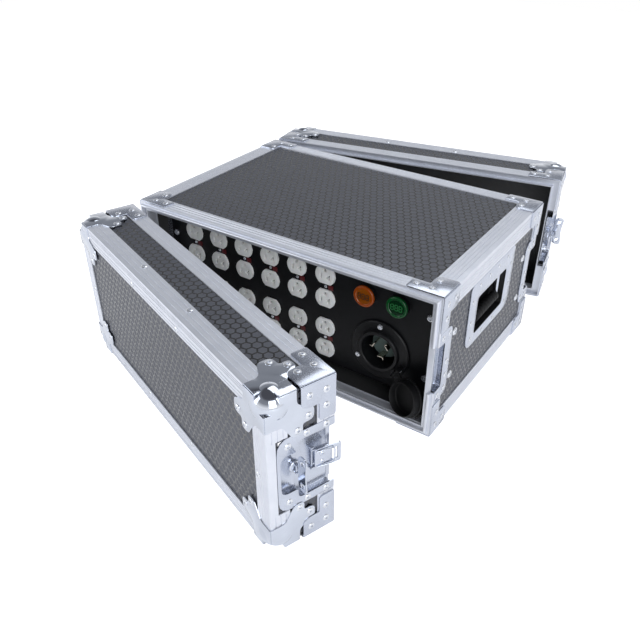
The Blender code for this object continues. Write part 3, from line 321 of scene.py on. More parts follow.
def speckled(material, scale, low, high, strength, distance=0.0003, **marks):
    """Breaks up a finish with a fine unevenness of its gloss and surface, with so many specks to a metre."""
    tree = material.node_tree
    where = add_node(tree, "TexCoord").outputs["Object"]
    noise = add_node(tree, "TexNoise", {"Vector": where, "Scale": scale, "Detail": 4.0, **marks})
    rough = add_node(tree, "MapRange", {0: noise, 1: 0.3, 2: 0.7, 3: low, 4: high})
    relief = add_node(tree, "Bump", {"Strength": strength, "Distance": distance, "Height": noise})
    set_finish(material, Roughness=rough, Normal=relief)


def brushed(metal, light, dark, low, high, clouding=54.0):
    """Gives a metal the scratches and the clouds, so many to a metre, of handled stock."""
    speckled(metal, 900.0, low, high, 0.02, 0.0001, Detail=3.0, Distortion=1.0)
    tree = metal.node_tree
    where = add_node(tree, "TexCoord").outputs["Object"]
    clouds = add_node(tree, "TexNoise", {"Vector": where, "Scale": clouding, "Detail": 5.0})
    tint = add_node(tree, "Mix", {0: clouds, 6: srgb(light), 7: srgb(dark)}, data_type="RGBA")
    set_finish(metal, Base_Color=tint.outputs[2])


# Bright and silvery, with a small sharp highlight on each dome.
tin = new_surface("tinned steel rivet", "e9ebef", 0.26, 0.80)
brushed(tin, "f0f2f6", "e0e3ea", 0.20, 0.32)


def lathe(profile, steps):
    """A turned shape about Z from (radius, height) points."""
    shape = bmesh.new()
    line = [shape.verts.new((x, 0.0, z)) for x, z in profile]
    edges = [shape.edges.new(pair) for pair in zip(line, line[1:])]
    bmesh.ops.spin(
        shape, geom=[*line, *edges], cent=(0, 0, 0), axis=(0, 0, 1), angle=2 * pi, steps=steps, use_merge=True
    )
    bmesh.ops.remove_doubles(shape, verts=shape.verts, dist=1e-6)
    bmesh.ops.recalc_face_normals(shape, faces=shape.faces)
    return mesh_of(shape)


def rivet_head(radius, height):
    """A rivet's head about Z, sitting on z = 0."""
    profile = ((0, -0.5), (0.30, -0.5), (0.35, 0.90), (0.50, 1), (0.80, 0.72), (1, 0.22), (1, -0.25))
    return lathe([(radius * x, height * z) for x, z in profile], 14)


def stamp(shape, mesh, place=AS_DRAWN, finish=0):
    """Adds a copy of a mesh in one material to a bmesh, right side out even where the place mirrors it."""
    old_verts = len(shape.verts)
    old_faces = len(shape.faces)
    shape.from_mesh(mesh)
    shape.verts.ensure_lookup_table()
    shape.faces.ensure_lookup_table()
    bmesh.ops.transform(shape, matrix=place, verts=shape.verts[old_verts:])
    added = shape.faces[old_faces:]
    for face in added:
        face.material_index = finish
    if place.determinant() < 0:
        bmesh.ops.reverse_faces(shape, faces=added)


def looking(point, outward):
    """The place that sets +Z of a small piece along a direction."""
    return at(*point) @ Vector(outward).to_track_quat("Z", "Y").to_matrix().to_4x4()


RIVET = rivet_head(RIVET_R, RIVET_H)
SMALL_RIVET = rivet_head(SMALL_RIVET_R, SMALL_RIVET_H)

# Aluminium edging of the body
# Extruded aluminium with shallow grooves along its faces. Four angles cover the long edges, and a hybrid
# extrusion with a rounded tongue runs round each open end, mitred at the corners.
EDGING_T = 0.0015
GROOVE_WIDE = 0.0013
GROOVE_DEEP = 0.0007
GAP = 0.0003
CREASE = radians(38.0)
# Pale and a little cloudy, with soft highlights along its length.
extruded = new_surface("extruded aluminium", "e8ebf4", 0.36, 0.62)
brushed(extruded, "f1f3fa", "dee2ec", 0.30, 0.40)


def grooved(start, end, inward, places):
    """Section points from start to end of a flat face, with a groove at each distance from the start."""
    start = Vector(start)
    way = (Vector(end) - start).normalized()
    down = Vector(inward) * GROOVE_DEEP
    points = [start]
    for place in places:
        for step, sunk in ((-0.5, 0), (-0.22, 1), (0.22, 1), (0.5, 0)):
            points.append(start + way * (place + step * GROOVE_WIDE) + down * sunk)
    points.append(Vector(end))
    return points


def fit(shape, place, name, materials, body, slot, *replaced):
    """Sets a copy of a bmesh at its place as an object that rides on a body, in place of the solids named."""
    copied = shape.copy()
    bmesh.ops.transform(copied, matrix=place, verts=copied.verts)
    if place.determinant() < 0:
        bmesh.ops.reverse_faces(copied, faces=copied.faces)
    mesh = mesh_of(copied, name)
    for material in materials:
        mesh.materials.append(material)
    mesh.shade_smooth()
    mesh.set_sharp_from_angle(angle=CREASE)
    made = set_out(name, mesh)
    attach(made, body)
    if replaced:
        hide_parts(*replaced)


def extrusion(section, start, end, mitres=(False, False)):
    """A length along X of a section in Y (inset) and Z (depth). A mitred end leans in by the inset."""
    shape = bmesh.new()
    near = [shape.verts.new((start + (y if mitres[0] else 0.0), y, z)) for y, z in section]
    far = [shape.verts.new((end - (y if mitres[1] else 0.0), y, z)) for y, z in section]
    for index in range(len(section)):
        shape.faces.new((near[index - 1], near[index], far[index], far[index - 1]))
    for mitred, cap in zip(mitres, (near, far)):
        if not mitred:
            shape.faces.new(cap)
    bmesh.ops.recalc_face_normals(shape, faces=shape.faces)
    return mesh_of(shape)


def run_places():
    """(place, length, upright) of each side of the case's outline. X runs along it, Y inwards, Z deeper."""
    for quarter, length in enumerate((2 * half_w, case_h, 2 * half_w, case_h)):
        upright = quarter % 2 == 1
        reach = half_w if upright else mid_z
        side = Matrix(((1, 0, 0, 0), (0, 0, 1, 0), (0, -1, 0, reach), (0, 0, 0, 1)))
        yield at(0, 0, mid_z) @ turned(quarter * pi / 2, "Y") @ side, length, upright


def framed(*lengths):
    """A frame round the case from (section, uprights or not, near, far), measured from each side's middle.

    Without a far end a length runs to the corner and is mitred, and a negative one stops short of the corner.
    """
    shape = bmesh.new()
    for place, length, upright in run_places():
        for section, on_uprights, near, far in lengths:
            if on_uprights != upright:
                continue
            mitred = far is None
            end = far if far and far > 0 else length / 2 + (far or 0.0)
            spans = ((-end, -near), (near, end)) if near else ((-end, end),)
            for a, b in spans:
                stamp(shape, extrusion(section, a, b, (mitred and a == -end, mitred and b == end)), place)
    return shape


ANGLE_LEG = 0.030
ANGLE_GROOVES = (0.0055, 0.0110, 0.0165, 0.0220)
ROUND = 0.0012
BODY_FLANGE = 0.025
upright_grooves = [ANGLE_LEG - ROUND - place for place in reversed(ANGLE_GROOVES)]
angle_section = [
    *grooved((ANGLE_LEG, 0.0), (ROUND, 0.0), (0, 1), ANGLE_GROOVES),
    (ROUND * 0.3, ROUND * 0.3),
    *grooved((0.0, ROUND), (0.0, ANGLE_LEG), (1, 0), upright_grooves),
    (EDGING_T, ANGLE_LEG),
    (EDGING_T, EDGING_T),
    (ANGLE_LEG, EDGING_T),
]
angle_half = HALF_D - BODY_FLANGE - GAP
angle = bmesh.new()
stamp(angle, extrusion(angle_section, -angle_half, angle_half))
for side_name, side in (("left", -1), ("right", 1)):
    for level_name, level in (("bottom", -1), ("top", 1)):
        # The section's Y runs inwards from the end of the case, and its Z from the top or the bottom.
        z = mid_z + level * mid_z
        place = Matrix(((0, -side, 0, side * half_w), (1, 0, 0, 0), (0, 0, -level, z), (0, 0, 0, 1)))
        node = f"{level_name}_{side_name}_edge_angle"
        fit(angle, place, f"{node}_extrusion", [extruded], "case", "ribbed_aluminium", node)

BEAD_INSET = 0.0038
BEAD_W = 0.005
BEAD_H = 0.0045
LINER_IN = 0.0116
LINER_OUT = 0.0131
BODY_LINER = 0.0200
WEB_T = 0.0025
RIB_H = 0.0010
RIB_W = 0.0022
RIB_DEPTHS = (0.0045, 0.0185)
CORNER_EASE = 0.0008
bead_middle = BEAD_INSET + BEAD_W / 2
bead = [
    (bead_middle - cos(pi * step / 8) * BEAD_W / 2, -(BEAD_H - BEAD_W / 2) - sin(pi * step / 8) * BEAD_W / 2)
    for step in range(9)
]
liner_ribs = [
    (LINER_OUT + out * RIB_H, depth + along * RIB_W)
    for depth in RIB_DEPTHS
    for out, along in ((0, -0.5), (1, -0.25), (1, 0.25), (0, 0.5))
]
rim_tail = [(LINER_OUT, 0.0), *liner_ribs, (LINER_OUT, BODY_LINER), (LINER_IN, BODY_LINER), (LINER_IN, WEB_T)]
rim_front = [(CORNER_EASE, 0.0), (BEAD_INSET, 0.0), *bead, (BEAD_INSET + BEAD_W, 0.0), *rim_tail]
rim_front.append((EDGING_T, WEB_T))
whole_section = [
    *grooved((0.0, BODY_FLANGE), (0.0, CORNER_EASE), (1, 0), (0.006, 0.012, 0.018)),
    *rim_front,
    (EDGING_T, BODY_FLANGE),
]
# Under a keeper the flange is cut back, and before its pocket so are the tongue and the outer corner.
KEEPER_H = 0.113
KEEPER_POCKET_H = 0.075
CUT_BACK = 0.0044
POCKET_INSET = 0.0052
short_section = [(0.0, CUT_BACK), (0.0, CORNER_EASE), *rim_front, (EDGING_T, CUT_BACK)]
pocket_section = [(POCKET_INSET, 0.0002), *rim_tail, (POCKET_INSET, WEB_T)]
pocket_end = KEEPER_POCKET_H / 2 + GAP
body_rim = framed(
    (whole_section, False, 0, None),
    (whole_section, True, KEEPER_H / 2, None),
    (short_section, True, pocket_end, KEEPER_H / 2),
    (pocket_section, True, 0, pocket_end),
)
# The places of a rim whose y = 0 is the open end of the body.
ENDS = {
    end: turned(turn, "Z") @ at(0, -HALF_D, 0)
    for end, turn in (("front", 0.0), ("rear", pi))
}
for end, place in ENDS.items():
    fit(body_rim, place, f"{end}_rim_extrusion", [extruded], "case", "ribbed_aluminium", f"{end}_rim_frame")

# Aluminium edging of the lids
# The rim is the grooved half of the hybrid extrusion, and the outer edges are angles with deeper grooves.
# Both run round the lid, mitred, with rivets at three and five eighths of their length.
LID_FLANGE = 0.024
GROOVE_INSET = 0.0016
GROOVE_END = 0.0114
GROOVE_D = 0.0075
GROOVE_FLOOR = 0.0090
LID_LINER = 0.018
LID_EASE = 0.0006
liner_section = [
    (GROOVE_END, 0.0), (LINER_OUT, 0.0), (LINER_OUT, LID_LINER),
    (LINER_IN, LID_LINER), (LINER_IN, GROOVE_FLOOR),
]
lid_rim_section = [
    *grooved((0.0, LID_FLANGE), (0.0, LID_EASE), (1, 0), (0.0085, 0.0155)),
    (LID_EASE, 0.0), (GROOVE_INSET, 0.0), (GROOVE_INSET, GROOVE_D), (GROOVE_END, GROOVE_D),
    *liner_section,
    (EDGING_T, GROOVE_FLOOR), (EDGING_T, LID_FLANGE),
]
SIDE_LEG = 0.027
FACE_LEG = 0.026
EDGE_ROUND = 0.0020
face_leg = [
    (EDGE_ROUND * 0.29, LID_D - EDGE_ROUND * 0.29),
    *grooved((EDGE_ROUND, LID_D), (FACE_LEG, LID_D), (0, -1), (0.0020, 0.0050, 0.0080, 0.0145, 0.0200)),
    (FACE_LEG, LID_D - EDGING_T),
    (EDGING_T, LID_D - EDGING_T),
]
lid_edge_section = [
    *grooved((0.0, LID_D - SIDE_LEG), (0.0, LID_D - EDGE_ROUND), (1, 0), (0.0056, 0.0126, 0.0196)),
    *face_leg,
    (EDGING_T, LID_D - SIDE_LEG),
]
# Between the lid's latches and its outer face only a strip of the side leg is left.
DISH_H = 0.110
DISH_D = 0.077
BALL_DEEP = 0.0180
strip_start = DISH_D + GAP
strip_section = [(0.0, strip_start), (0.0, LID_D - EDGE_ROUND), *face_leg, (EDGING_T, strip_start)]


def on_lids(shape, name, materials, slot, *replaced):
    """Fits a piece drawn in a lid's own frame to each lid, in place of the solids named."""
    for lid, place in LIDS.items():
        hidden = [f"{lid}_{node}" for node in replaced]
        fit(shape, place, f"{lid}_{name}", materials, f"{lid}_lid", slot, *hidden)


rim = framed(
    (lid_rim_section, False, 0, None),
    (lid_rim_section, True, DISH_H / 2, None),
    ([*liner_section, (GROOVE_END, GROOVE_FLOOR)], True, 0, DISH_H / 2),
)
edge = framed(
    (lid_edge_section, False, 0, -BALL_DEEP),
    (lid_edge_section, True, DISH_H / 2, -BALL_DEEP),
    (strip_section, True, 0, DISH_H / 2),
)
on_lids(rim, "lid_rim_extrusion", [extruded], "ribbed_aluminium", "lid_rim_frame")
RIVET_SPOTS = (-0.0663, 0.0663)
FLANGE_LINE = 0.0200
for x in RIVET_SPOTS:
    for level in (-1, 1):
        z = mid_z + level * mid_z
        stamp(edge, RIVET, looking((x, LID_D - FLANGE_LINE, z), (0, 0, level)), 1)
        stamp(edge, RIVET, looking((x, LID_D, mid_z + level * (mid_z - FLANGE_LINE)), (0, 1, 0)), 1)
for side in (-1, 1):
    stamp(edge, RIVET, looking((side * (half_w - FLANGE_LINE), LID_D, mid_z), (0, 1, 0)), 1)
on_lids(edge, "lid_edge_extrusion", [extruded, tin], "ribbed_aluminium", "lid_edge_frame")

# Corner braces
# Zinc plated steel, pressed to an L and folded over the corner, so one arm lies along the rim and one along
# the edge on both faces. Three rivets hold each face.
BRACE_T = 0.0019
BRACE_LONG = 0.054
BRACE_DEEP = 0.045
BRACE_W = 0.022
BRACE_ARM = 0.030
# A smooth bluish white mirror, a little clouded by handling.
zinc = new_surface("zinc plated pressed steel", "d3d6dc", 0.20, 1.0)
brushed(zinc, "d8dde9", "c0c5d1", 0.15, 0.30, 30.0)


def eased(before, corner, after, trim, steps):
    """Points on the curve that rounds a corner, which starts and ends so far from it along both sides."""
    back = before - corner
    ahead = after - corner
    trim = min(trim, 0.48 * back.length, 0.48 * ahead.length)
    a = corner + back.normalized() * trim
    b = corner + ahead.normalized() * trim
    spots = [step / steps for step in range(steps + 1)]
    return [a * (1 - t) ** 2 + corner * 2 * t * (1 - t) + b * t**2 for t in spots]


def rounded(points):
    """A closed outline from (x, y) points, and (x, y, radius) where a corner is rounded."""
    outline = []
    for index, (x, y, *radius) in enumerate(points):
        corner = Vector((x, y))
        if not radius:
            outline.append(corner)
            continue
        before = Vector(points[index - 1][:2])
        after = Vector(points[(index + 1) % len(points)][:2])
        half_angle = (before - corner).angle(after - corner) / 2
        outline += eased(before, corner, after, radius[0] / tan(half_angle), 4)
    return outline


def soften(shape, edges, ease):
    """Rounds edges of a bmesh."""
    kind = {"affect": "EDGES", "offset_type": "OFFSET", "segments": 2, "profile": 0.5, "material": -1}
    bmesh.ops.bevel(shape, geom=edges, offset=ease, **kind)


def pressed(points, thickness, ease=0.0004, holes=()):
    """A flat pressing on z = 0 from the points of its outline and its holes, with its upper edges eased."""
    shape = bmesh.new()
    loops = []
    for outline in (points, *holes):
        verts = [shape.verts.new((x, y, 0.0)) for x, y in rounded(outline)]
        loops += [shape.edges.new((verts[i - 1], verts[i])) for i in range(len(verts))]
    bmesh.ops.triangle_fill(shape, edges=loops, use_beauty=True)
    raised = bmesh.ops.extrude_face_region(shape, geom=shape.faces[:])["geom"]
    lifted = [item for item in raised if isinstance(item, bmesh.types.BMVert)]
    bmesh.ops.translate(shape, verts=lifted, vec=(0, 0, thickness))
    bmesh.ops.recalc_face_normals(shape, faces=shape.faces)
    rims = [
        edge
        for edge in shape.edges
        if set(lifted).issuperset(edge.verts) and len({round(face.normal.z) for face in edge.link_faces}) > 1
    ]
    soften(shape, rims, ease)
    return mesh_of(shape)


brace_outline = (
    (0.0, 0.0),
    (BRACE_LONG, 0.0, 0.003),
    (BRACE_LONG, BRACE_W, 0.004),
    (BRACE_ARM, BRACE_W, 0.002),
    (BRACE_ARM, BRACE_DEEP, 0.012),
    (0.0, BRACE_DEEP),
)
BRACE = pressed(brace_outline, BRACE_T)
# Rivet places on the face that lies flat and on the one that stands, from the corner and from the rim.
FLAT_RIVETS = ((0.0447, 0.0120), (0.0228, 0.0120), (0.0222, 0.0335))
END_RIVETS = ((0.0360, 0.0130), (0.0145, 0.0130), (0.0140, 0.0345))
CORNERS = [(side, level, side * half_w, mid_z + level * mid_z) for side in (-1, 1) for level in (-1, 1)]
corners = bmesh.new()
for side, level, x, z in CORNERS:
    flat = Matrix(((-side, 0, 0, x), (0, 1, 0, GAP), (0, 0, level, z), (0, 0, 0, 1)))
    upright = Matrix(((0, 0, side, x), (0, 1, 0, GAP), (-level, 0, 0, z), (0, 0, 0, 1)))
    stamp(corners, BRACE, flat)
    stamp(corners, BRACE, upright)
    for inset, depth in FLAT_RIVETS:
        stamp(corners, RIVET, looking((x - side * inset, depth, z + level * BRACE_T), (0, 0, level)), 1)
    for inset, depth in END_RIVETS:
        stamp(corners, RIVET, looking((x + side * BRACE_T, depth, z - level * inset), (side, 0, 0)), 1)
for end, place in ENDS.items():
    fit(corners, place, f"{end}_corner_braces", [zinc, tin], "case", "zinc_sheet")
on_lids(corners, "lid_corner_braces", [zinc, tin], "zinc_sheet")

# Ball corners
# Chromed steel balls, deep drawn with three flanges that end in two lobes, each lobe held by a rivet. They
# take the knocks at the lids' outer corners.
BALL_R = 0.0215
FLANGE_T = 0.0012
FLANGE_WAIST = 0.0390
FLANGE_DEEP = 0.0400
LOBE_A = (0.0535, 0.0400)
LOBE_B = (0.0395, 0.0545)
LOBE_R = 0.0070
WEB = 0.0070
# A clean mirror with the faintest clouding.
chrome = new_surface("chromed steel", "dfe0e3", 0.07, 1.0)
brushed(chrome, "dde2ec", "ccd1dc", 0.05, 0.12, 30.0)
ball_flange = (
    (BALL_DEEP, 0.0),
    (FLANGE_WAIST, 0.0),
    (FLANGE_WAIST, 0.0190, 0.0100),
    (LOBE_A[0] + LOBE_R, 0.0290, 0.0090),
    (LOBE_A[0] + LOBE_R, LOBE_A[1] + LOBE_R, 0.0090),
    (0.0455, 0.0475, 0.0040),
    (LOBE_B[0] + LOBE_R, LOBE_B[1] + LOBE_R, 0.0090),
    (LOBE_B[0] - LOBE_R, LOBE_B[1] + LOBE_R, 0.0090),
    (0.0200, FLANGE_DEEP, 0.0100),
    (0.0, FLANGE_DEEP),
    (0.0, BALL_DEEP),
    (BALL_DEEP, BALL_DEEP),
)
FLANGE = pressed(ball_flange, FLANGE_T, 0.0003)
# A small web closes each edge of the corner where the flanges end beside the ball.
BALL_WEB = pressed(((0.0, 0.0), (WEB, 0.0), (0.0, WEB)), FLANGE_T, 0.0002)
NEXT_AXIS = Matrix(((0, 0, 1, 0), (1, 0, 0, 0), (0, 1, 0, 0), (0, 0, 0, 1)))
# Only what shows of the ball is there: the caps through the three faces and the eighth at the corner.
ball = bmesh.new()
bmesh.ops.create_uvsphere(ball, u_segments=48, v_segments=32, radius=BALL_R)
buried = [
    face
    for face in ball.faces
    if max(face.calc_center_median()) < BALL_DEEP - 0.0010 and min(face.calc_center_median()) < -0.0020
]
bmesh.ops.delete(ball, geom=buried, context="FACES")
BALL = mesh_of(ball)
balls = bmesh.new()
for side, level, x, z in CORNERS:
    centre = Vector((x - side * BALL_DEEP, LID_D - BALL_DEEP, z - level * BALL_DEEP))
    stamp(balls, BALL, at(*centre) @ Matrix.Diagonal((side, 1, level, 1)))
    flat = Matrix(((-side, 0, 0, x), (0, -1, 0, LID_D), (0, 0, level, z), (0, 0, 0, 1)))
    upright = Matrix(((0, 0, side, x), (-1, 0, 0, LID_D), (0, -level, 0, z), (0, 0, 0, 1)))
    outer = Matrix(((-side, 0, 0, x), (0, 0, 1, LID_D), (0, -level, 0, z), (0, 0, 0, 1)))
    inward = Matrix(((-side, 0, 0, x), (0, -1, 0, LID_D), (0, 0, -level, z), (0, 0, 0, 1)))
    for way_round in (AS_DRAWN, NEXT_AXIS, NEXT_AXIS @ NEXT_AXIS):
        stamp(balls, BALL_WEB, inward @ way_round @ at(0, 0, BALL_DEEP))
    for face in (flat, upright, outer):
        stamp(balls, FLANGE, face)
        for lobe in (LOBE_A, LOBE_B):
            stamp(balls, RIVET, face @ at(*lobe, FLANGE_T), 1)
on_lids(balls, "lid_ball_corners", [chrome, tin], "chrome")

# Latch keepers
# Zinc plated steel plates riveted over both ends' rims. Each has a pocket open towards the rim, and the
# latch's claw pulls on the lip across the pocket's mouth. Two bolts behind each keeper hold the rack rail.
KEEPER_FOOT = 0.0047
KEEPER_END = 0.0400
KEEPER_POCKET_END = KEEPER_END - 0.0199
KEEPER_POCKET_D = 0.0080
PLATE_T = 0.0018
PLATE_TOP = 0.0004
LIP_T = 0.0012
LIP_TOP = 0.0052
BOLT_R = 0.0060
BOLT_H = 0.0026
BOLT_Z = 0.036
BOLT_AT = (-0.0018, 0.0510)
keeper_half = KEEPER_H / 2 - GAP
pocket_half = KEEPER_POCKET_H / 2 - 0.0008


def both_sides(half):
    """A closed outline from its half on one side of y = 0."""
    return [*half, *((x, -y, *radius) for x, y, *radius in reversed(half))]


def block(corner, opposite, ease=0.0003):
    """A box between two opposite corners, with eased edges."""
    corner = Vector(corner)
    opposite = Vector(opposite)
    size = [abs(length) for length in opposite - corner]
    shape = bmesh.new()
    place = at(*(corner + opposite) / 2) @ Matrix.Diagonal((*size, 1.0))
    bmesh.ops.create_cube(shape, size=1.0, matrix=place)
    if ease:
        soften(shape, shape.edges[:], ease)
    return mesh_of(shape)


def pan(points, top, floor, closed=True, ease=0.0012):
    """The walls and floor under a window as one folded skin. An open one has no wall after its last point."""
    outline = rounded(points)
    shape = bmesh.new()
    upper = [shape.verts.new((x, y, top)) for x, y in outline]
    lower = [shape.verts.new((x, y, floor)) for x, y in outline]
    count = len(outline)
    for index in range(count if closed else count - 1):
        other = (index + 1) % count
        shape.faces.new((upper[index], upper[other], lower[other], lower[index]))
    bottom = shape.faces.new(lower)
    bmesh.ops.recalc_face_normals(shape, faces=shape.faces)
    soften(shape, [edge for edge in bottom.edges if len(edge.link_faces) == 2], ease)
    return mesh_of(shape)


# Sets a piece drawn flat, with X into the depth, Y along the height and Z outward, against an end that faces
# +X.
ON_END = NEXT_AXIS
ON_PLATE = ON_END @ at(0, 0, PLATE_TOP - PLATE_T)
keeper_outline = (
    *both_sides(((KEEPER_FOOT, keeper_half, 0.002), (KEEPER_END, keeper_half, 0.014))),
    *both_sides(((KEEPER_FOOT, -pocket_half, 0.001), (KEEPER_POCKET_END, -pocket_half, 0.004))),
)
keeper = bmesh.new()
stamp(keeper, pressed(keeper_outline, PLATE_T), ON_PLATE)
pocket = both_sides(((KEEPER_FOOT, pocket_half), (KEEPER_POCKET_END, pocket_half, 0.004)))
stamp(keeper, pan(pocket, 0.0, -KEEPER_POCKET_D, closed=False, ease=0.0008), ON_END)
lip_low = (-KEEPER_POCKET_D, KEEPER_FOOT, -pocket_half)
stamp(keeper, block(lip_low, (-LIP_TOP, KEEPER_FOOT + LIP_T, pocket_half)))
for depth, z in (
    (0.0115, 0.0470), (0.0310, 0.0455), (0.0305, 0.0),
    (0.0310, -0.0455), (0.0115, -0.0470), (0.0305, -0.0235),
):
    stamp(keeper, RIVET, looking((PLATE_TOP, depth, z), (1, 0, 0)), 1)
for z in (-BOLT_Z, BOLT_Z):
    stamp(keeper, rivet_head(BOLT_R, BOLT_H), looking((*BOLT_AT, z), (1, 0, 0)), 1)
for end_name, end in (("front", -1), ("rear", 1)):
    for side_name, side in (("left", -1), ("right", 1)):
        place = at(side * half_w, end * HALF_D, mid_z) @ Matrix.Diagonal((side, -end, 1, 1))
        node = f"{end_name}_{side_name}_keeper"
        fit(keeper, place, f"{node}_plate", [zinc, tin], "case", "zinc_sheet", node)

# Latch dishes
# Deep drawn zinc plated steel, a wide flange round a pocket that is open at the lid's rim, riveted over the
# edging. Two small ears in the pocket carry the claw's pin.
DISH_HALF = 0.0547
DISH_END = 0.0768
DISH_FLOOR = 0.0094
WINDOW_HALF = 0.0430
WING_ROOM = 0.0285
SHOULDER = 0.0500
WINDOW_END = 0.0722
RIM_CLEAR = 0.0004
# The pocket's walls stop short of the rim, where the tongue of the body's rim enters, and its floor runs on.
WALL_START = 0.0060
FLOOR_T = 0.0006
PIVOT_DEPTH = 0.0265
PIVOT_INSET = 0.0076
CLAW_W = 0.0280
EAR_T = 0.0022
EAR_HALF = 0.0026
LATCH_PLACES = []
for lid, lid_place in LIDS.items():
    for side_name, side in (("left", -1), ("right", 1)):
        own = side if lid == "rear" else -side
        place = lid_place @ at(own * half_w, 0, mid_z)
        if own < 0:
            place = place @ turned(pi, "Y")
        LATCH_PLACES.append((lid, f"{lid}_{side_name}", place))


def on_latches(shape, name, materials, slot, node, rest=AS_DRAWN, fixed=False):
    """Fits a piece, set as it is at rest, to each latch in place of a solid. A fixed one rides on the lid."""
    for lid, latch, place in LATCH_PLACES:
        body = f"{lid}_lid" if fixed else f"{latch}_{node}"
        fit(shape, place @ rest, f"{latch}_{name}", materials, body, slot, f"{latch}_{node}")


window = both_sides(
    (
        (RIM_CLEAR, WINDOW_HALF),
        (SHOULDER, WINDOW_HALF, 0.011),
        (SHOULDER, WING_ROOM, 0.004),
        (WINDOW_END, WING_ROOM, 0.010),
    )
)
flange = both_sides(((RIM_CLEAR, DISH_HALF, 0.0015), (DISH_END, DISH_HALF, 0.019)))
basin = ((WALL_START, WINDOW_HALF), *window[1:-1], (WALL_START, -WINDOW_HALF))
dish = bmesh.new()
stamp(dish, pressed([*flange, *reversed(window)], PLATE_T), ON_PLATE)
stamp(dish, pan(basin, -0.0002, -DISH_FLOOR, closed=False), ON_END)
floor_low = (-DISH_FLOOR - FLOOR_T, RIM_CLEAR, -WINDOW_HALF)
stamp(dish, block(floor_low, (-DISH_FLOOR, WALL_START + 0.0002, WINDOW_HALF), 0.0001))
for side in (-1, 1):
    for depth, z in ((0.0625, 0.0420), (0.0120, 0.0490), (0.0380, 0.0490)):
        stamp(dish, RIVET, looking((PLATE_TOP, depth, side * z), (1, 0, 0)), 1)
    inner = CLAW_W / 2 + GAP
    ear_low = (-DISH_FLOOR, PIVOT_DEPTH - EAR_HALF, side * inner)
    stamp(dish, block(ear_low, (-0.0050, PIVOT_DEPTH + EAR_HALF, side * (inner + EAR_T)), 0.0005))
on_latches(dish, "latch_dish_pressing", [zinc, tin], "zinc_sheet", "latch_dish", fixed=True)

# Latch hubs
# A chromed steel disc on a stepped base, turned by the wing to draw the claw. Two cheeks carry the wing's
# pin.
HUB_DEPTH = 0.0495
HUB_R = 0.0080
HUB_TOP = 0.0060
KNUCKLE = 0.0040
CHEEK_HALF = 0.0025
CHEEK_TOP = 0.0008


def stepped(radius, height, *steps):
    """Profile points by their steps in millimetres from a radius and a height."""
    return [(radius + x / 1000, height + z / 1000) for x, z in steps]


disc = stepped(HUB_R, -HUB_TOP, (-1.2, 0), (-0.4, -0.4), (0, -1.2))
disc = [(0.0, -HUB_TOP), *disc, (HUB_R, -DISH_FLOOR + 0.0002)]
hub = bmesh.new()
stamp(hub, lathe(disc, 32), looking((0, HUB_DEPTH, 0), (1, 0, 0)))
for side in (-1, 1):
    inner = KNUCKLE + GAP
    cheek_low = (-HUB_TOP - 0.0002, HUB_DEPTH - CHEEK_HALF, side * inner)
    stamp(hub, block(cheek_low, (-CHEEK_TOP, HUB_DEPTH + CHEEK_HALF, side * (inner + EAR_T)), 0.0006))
on_latches(hub, "latch_hub_turning", [chrome], "chrome", "latch_hub")

# Latch wings
# A stamped and chromed steel wing with two rounded lobes, each with a raised ring round a hole. It folds flat
# into the dish, and stands out to be turned.
WING_REACH = 0.0203
WING_HALF = 0.0258
WING_T = 0.0016
WING_HOLE = (0.0122, 0.0168)
HOLE_R = 0.0026
RING_R = 0.0036
RING_WIDE = 0.0010
RING_HIGH = 0.0013
PIN_INSET = 0.0032
PIN_R = 0.0012
KNUCKLE_R = 0.0017


def circle(x, y, radius, count=14):
    """Points round a circle."""
    turns = [2 * pi * k / count for k in range(count)]
    return [(x + radius * cos(turn), y + radius * sin(turn)) for turn in turns]


def rod(radius, half, steps):
    """A round bar about Z, as long on both sides of z = 0."""
    return lathe(((0.0, -half), (radius, -half), (radius, half), (0.0, half)), steps)


wing_outline = both_sides(
    (
        (-0.0012, 0.0038, 0.0005),
        (0.0038, 0.0038, 0.0008),
        (0.0040, 0.0200, 0.0060),
        (0.0080, WING_HALF, 0.0060),
        (WING_REACH, WING_HALF, 0.0100),
        (0.0178, 0.0050, 0.0080),
    )
)
wing = bmesh.new()
depth, out = WING_HOLE
holes = [circle(depth, side * out, HOLE_R) for side in (-1, 1)]
stamp(wing, pressed(wing_outline, WING_T, 0.0005, holes), ON_END @ at(0, 0, -WING_T / 2))
ring = lathe([(RING_R + cos(pi * k / 4) * RING_WIDE, sin(pi * k / 4) * RING_HIGH) for k in range(9)], 20)
for side in (-1, 1):
    stamp(wing, ring, ON_END @ at(depth, side * out, 0))
stamp(wing, rod(KNUCKLE_R, KNUCKLE, 14))
stamp(wing, rod(PIN_R, KNUCKLE + EAR_T + 0.0008, 12))
wing_rest = at(-PIN_INSET, HUB_DEPTH, 0) @ turned(-pi / 2, "Z")
on_latches(wing, "latch_wing_stamping", [chrome], "chrome", "latch_wing", wing_rest)

# Latch claws
# A folded steel claw on a pin, with a carrier plate riveted to it, and bent down at the tip to bite behind
# the keeper's lip. A sprung wire along its sides keeps it raised.
CLAW_UNDER = 0.0030
CLAW_T = 0.0016
CLAW_TIP = 0.0350
CLAW_SIDE_T = 0.0014
CLAW_SIDE_END = 0.0200
WIRE_R = 0.0009
WIRE_START = 0.0040
WIRE_END = 0.0260
SWING = radians(10.0)


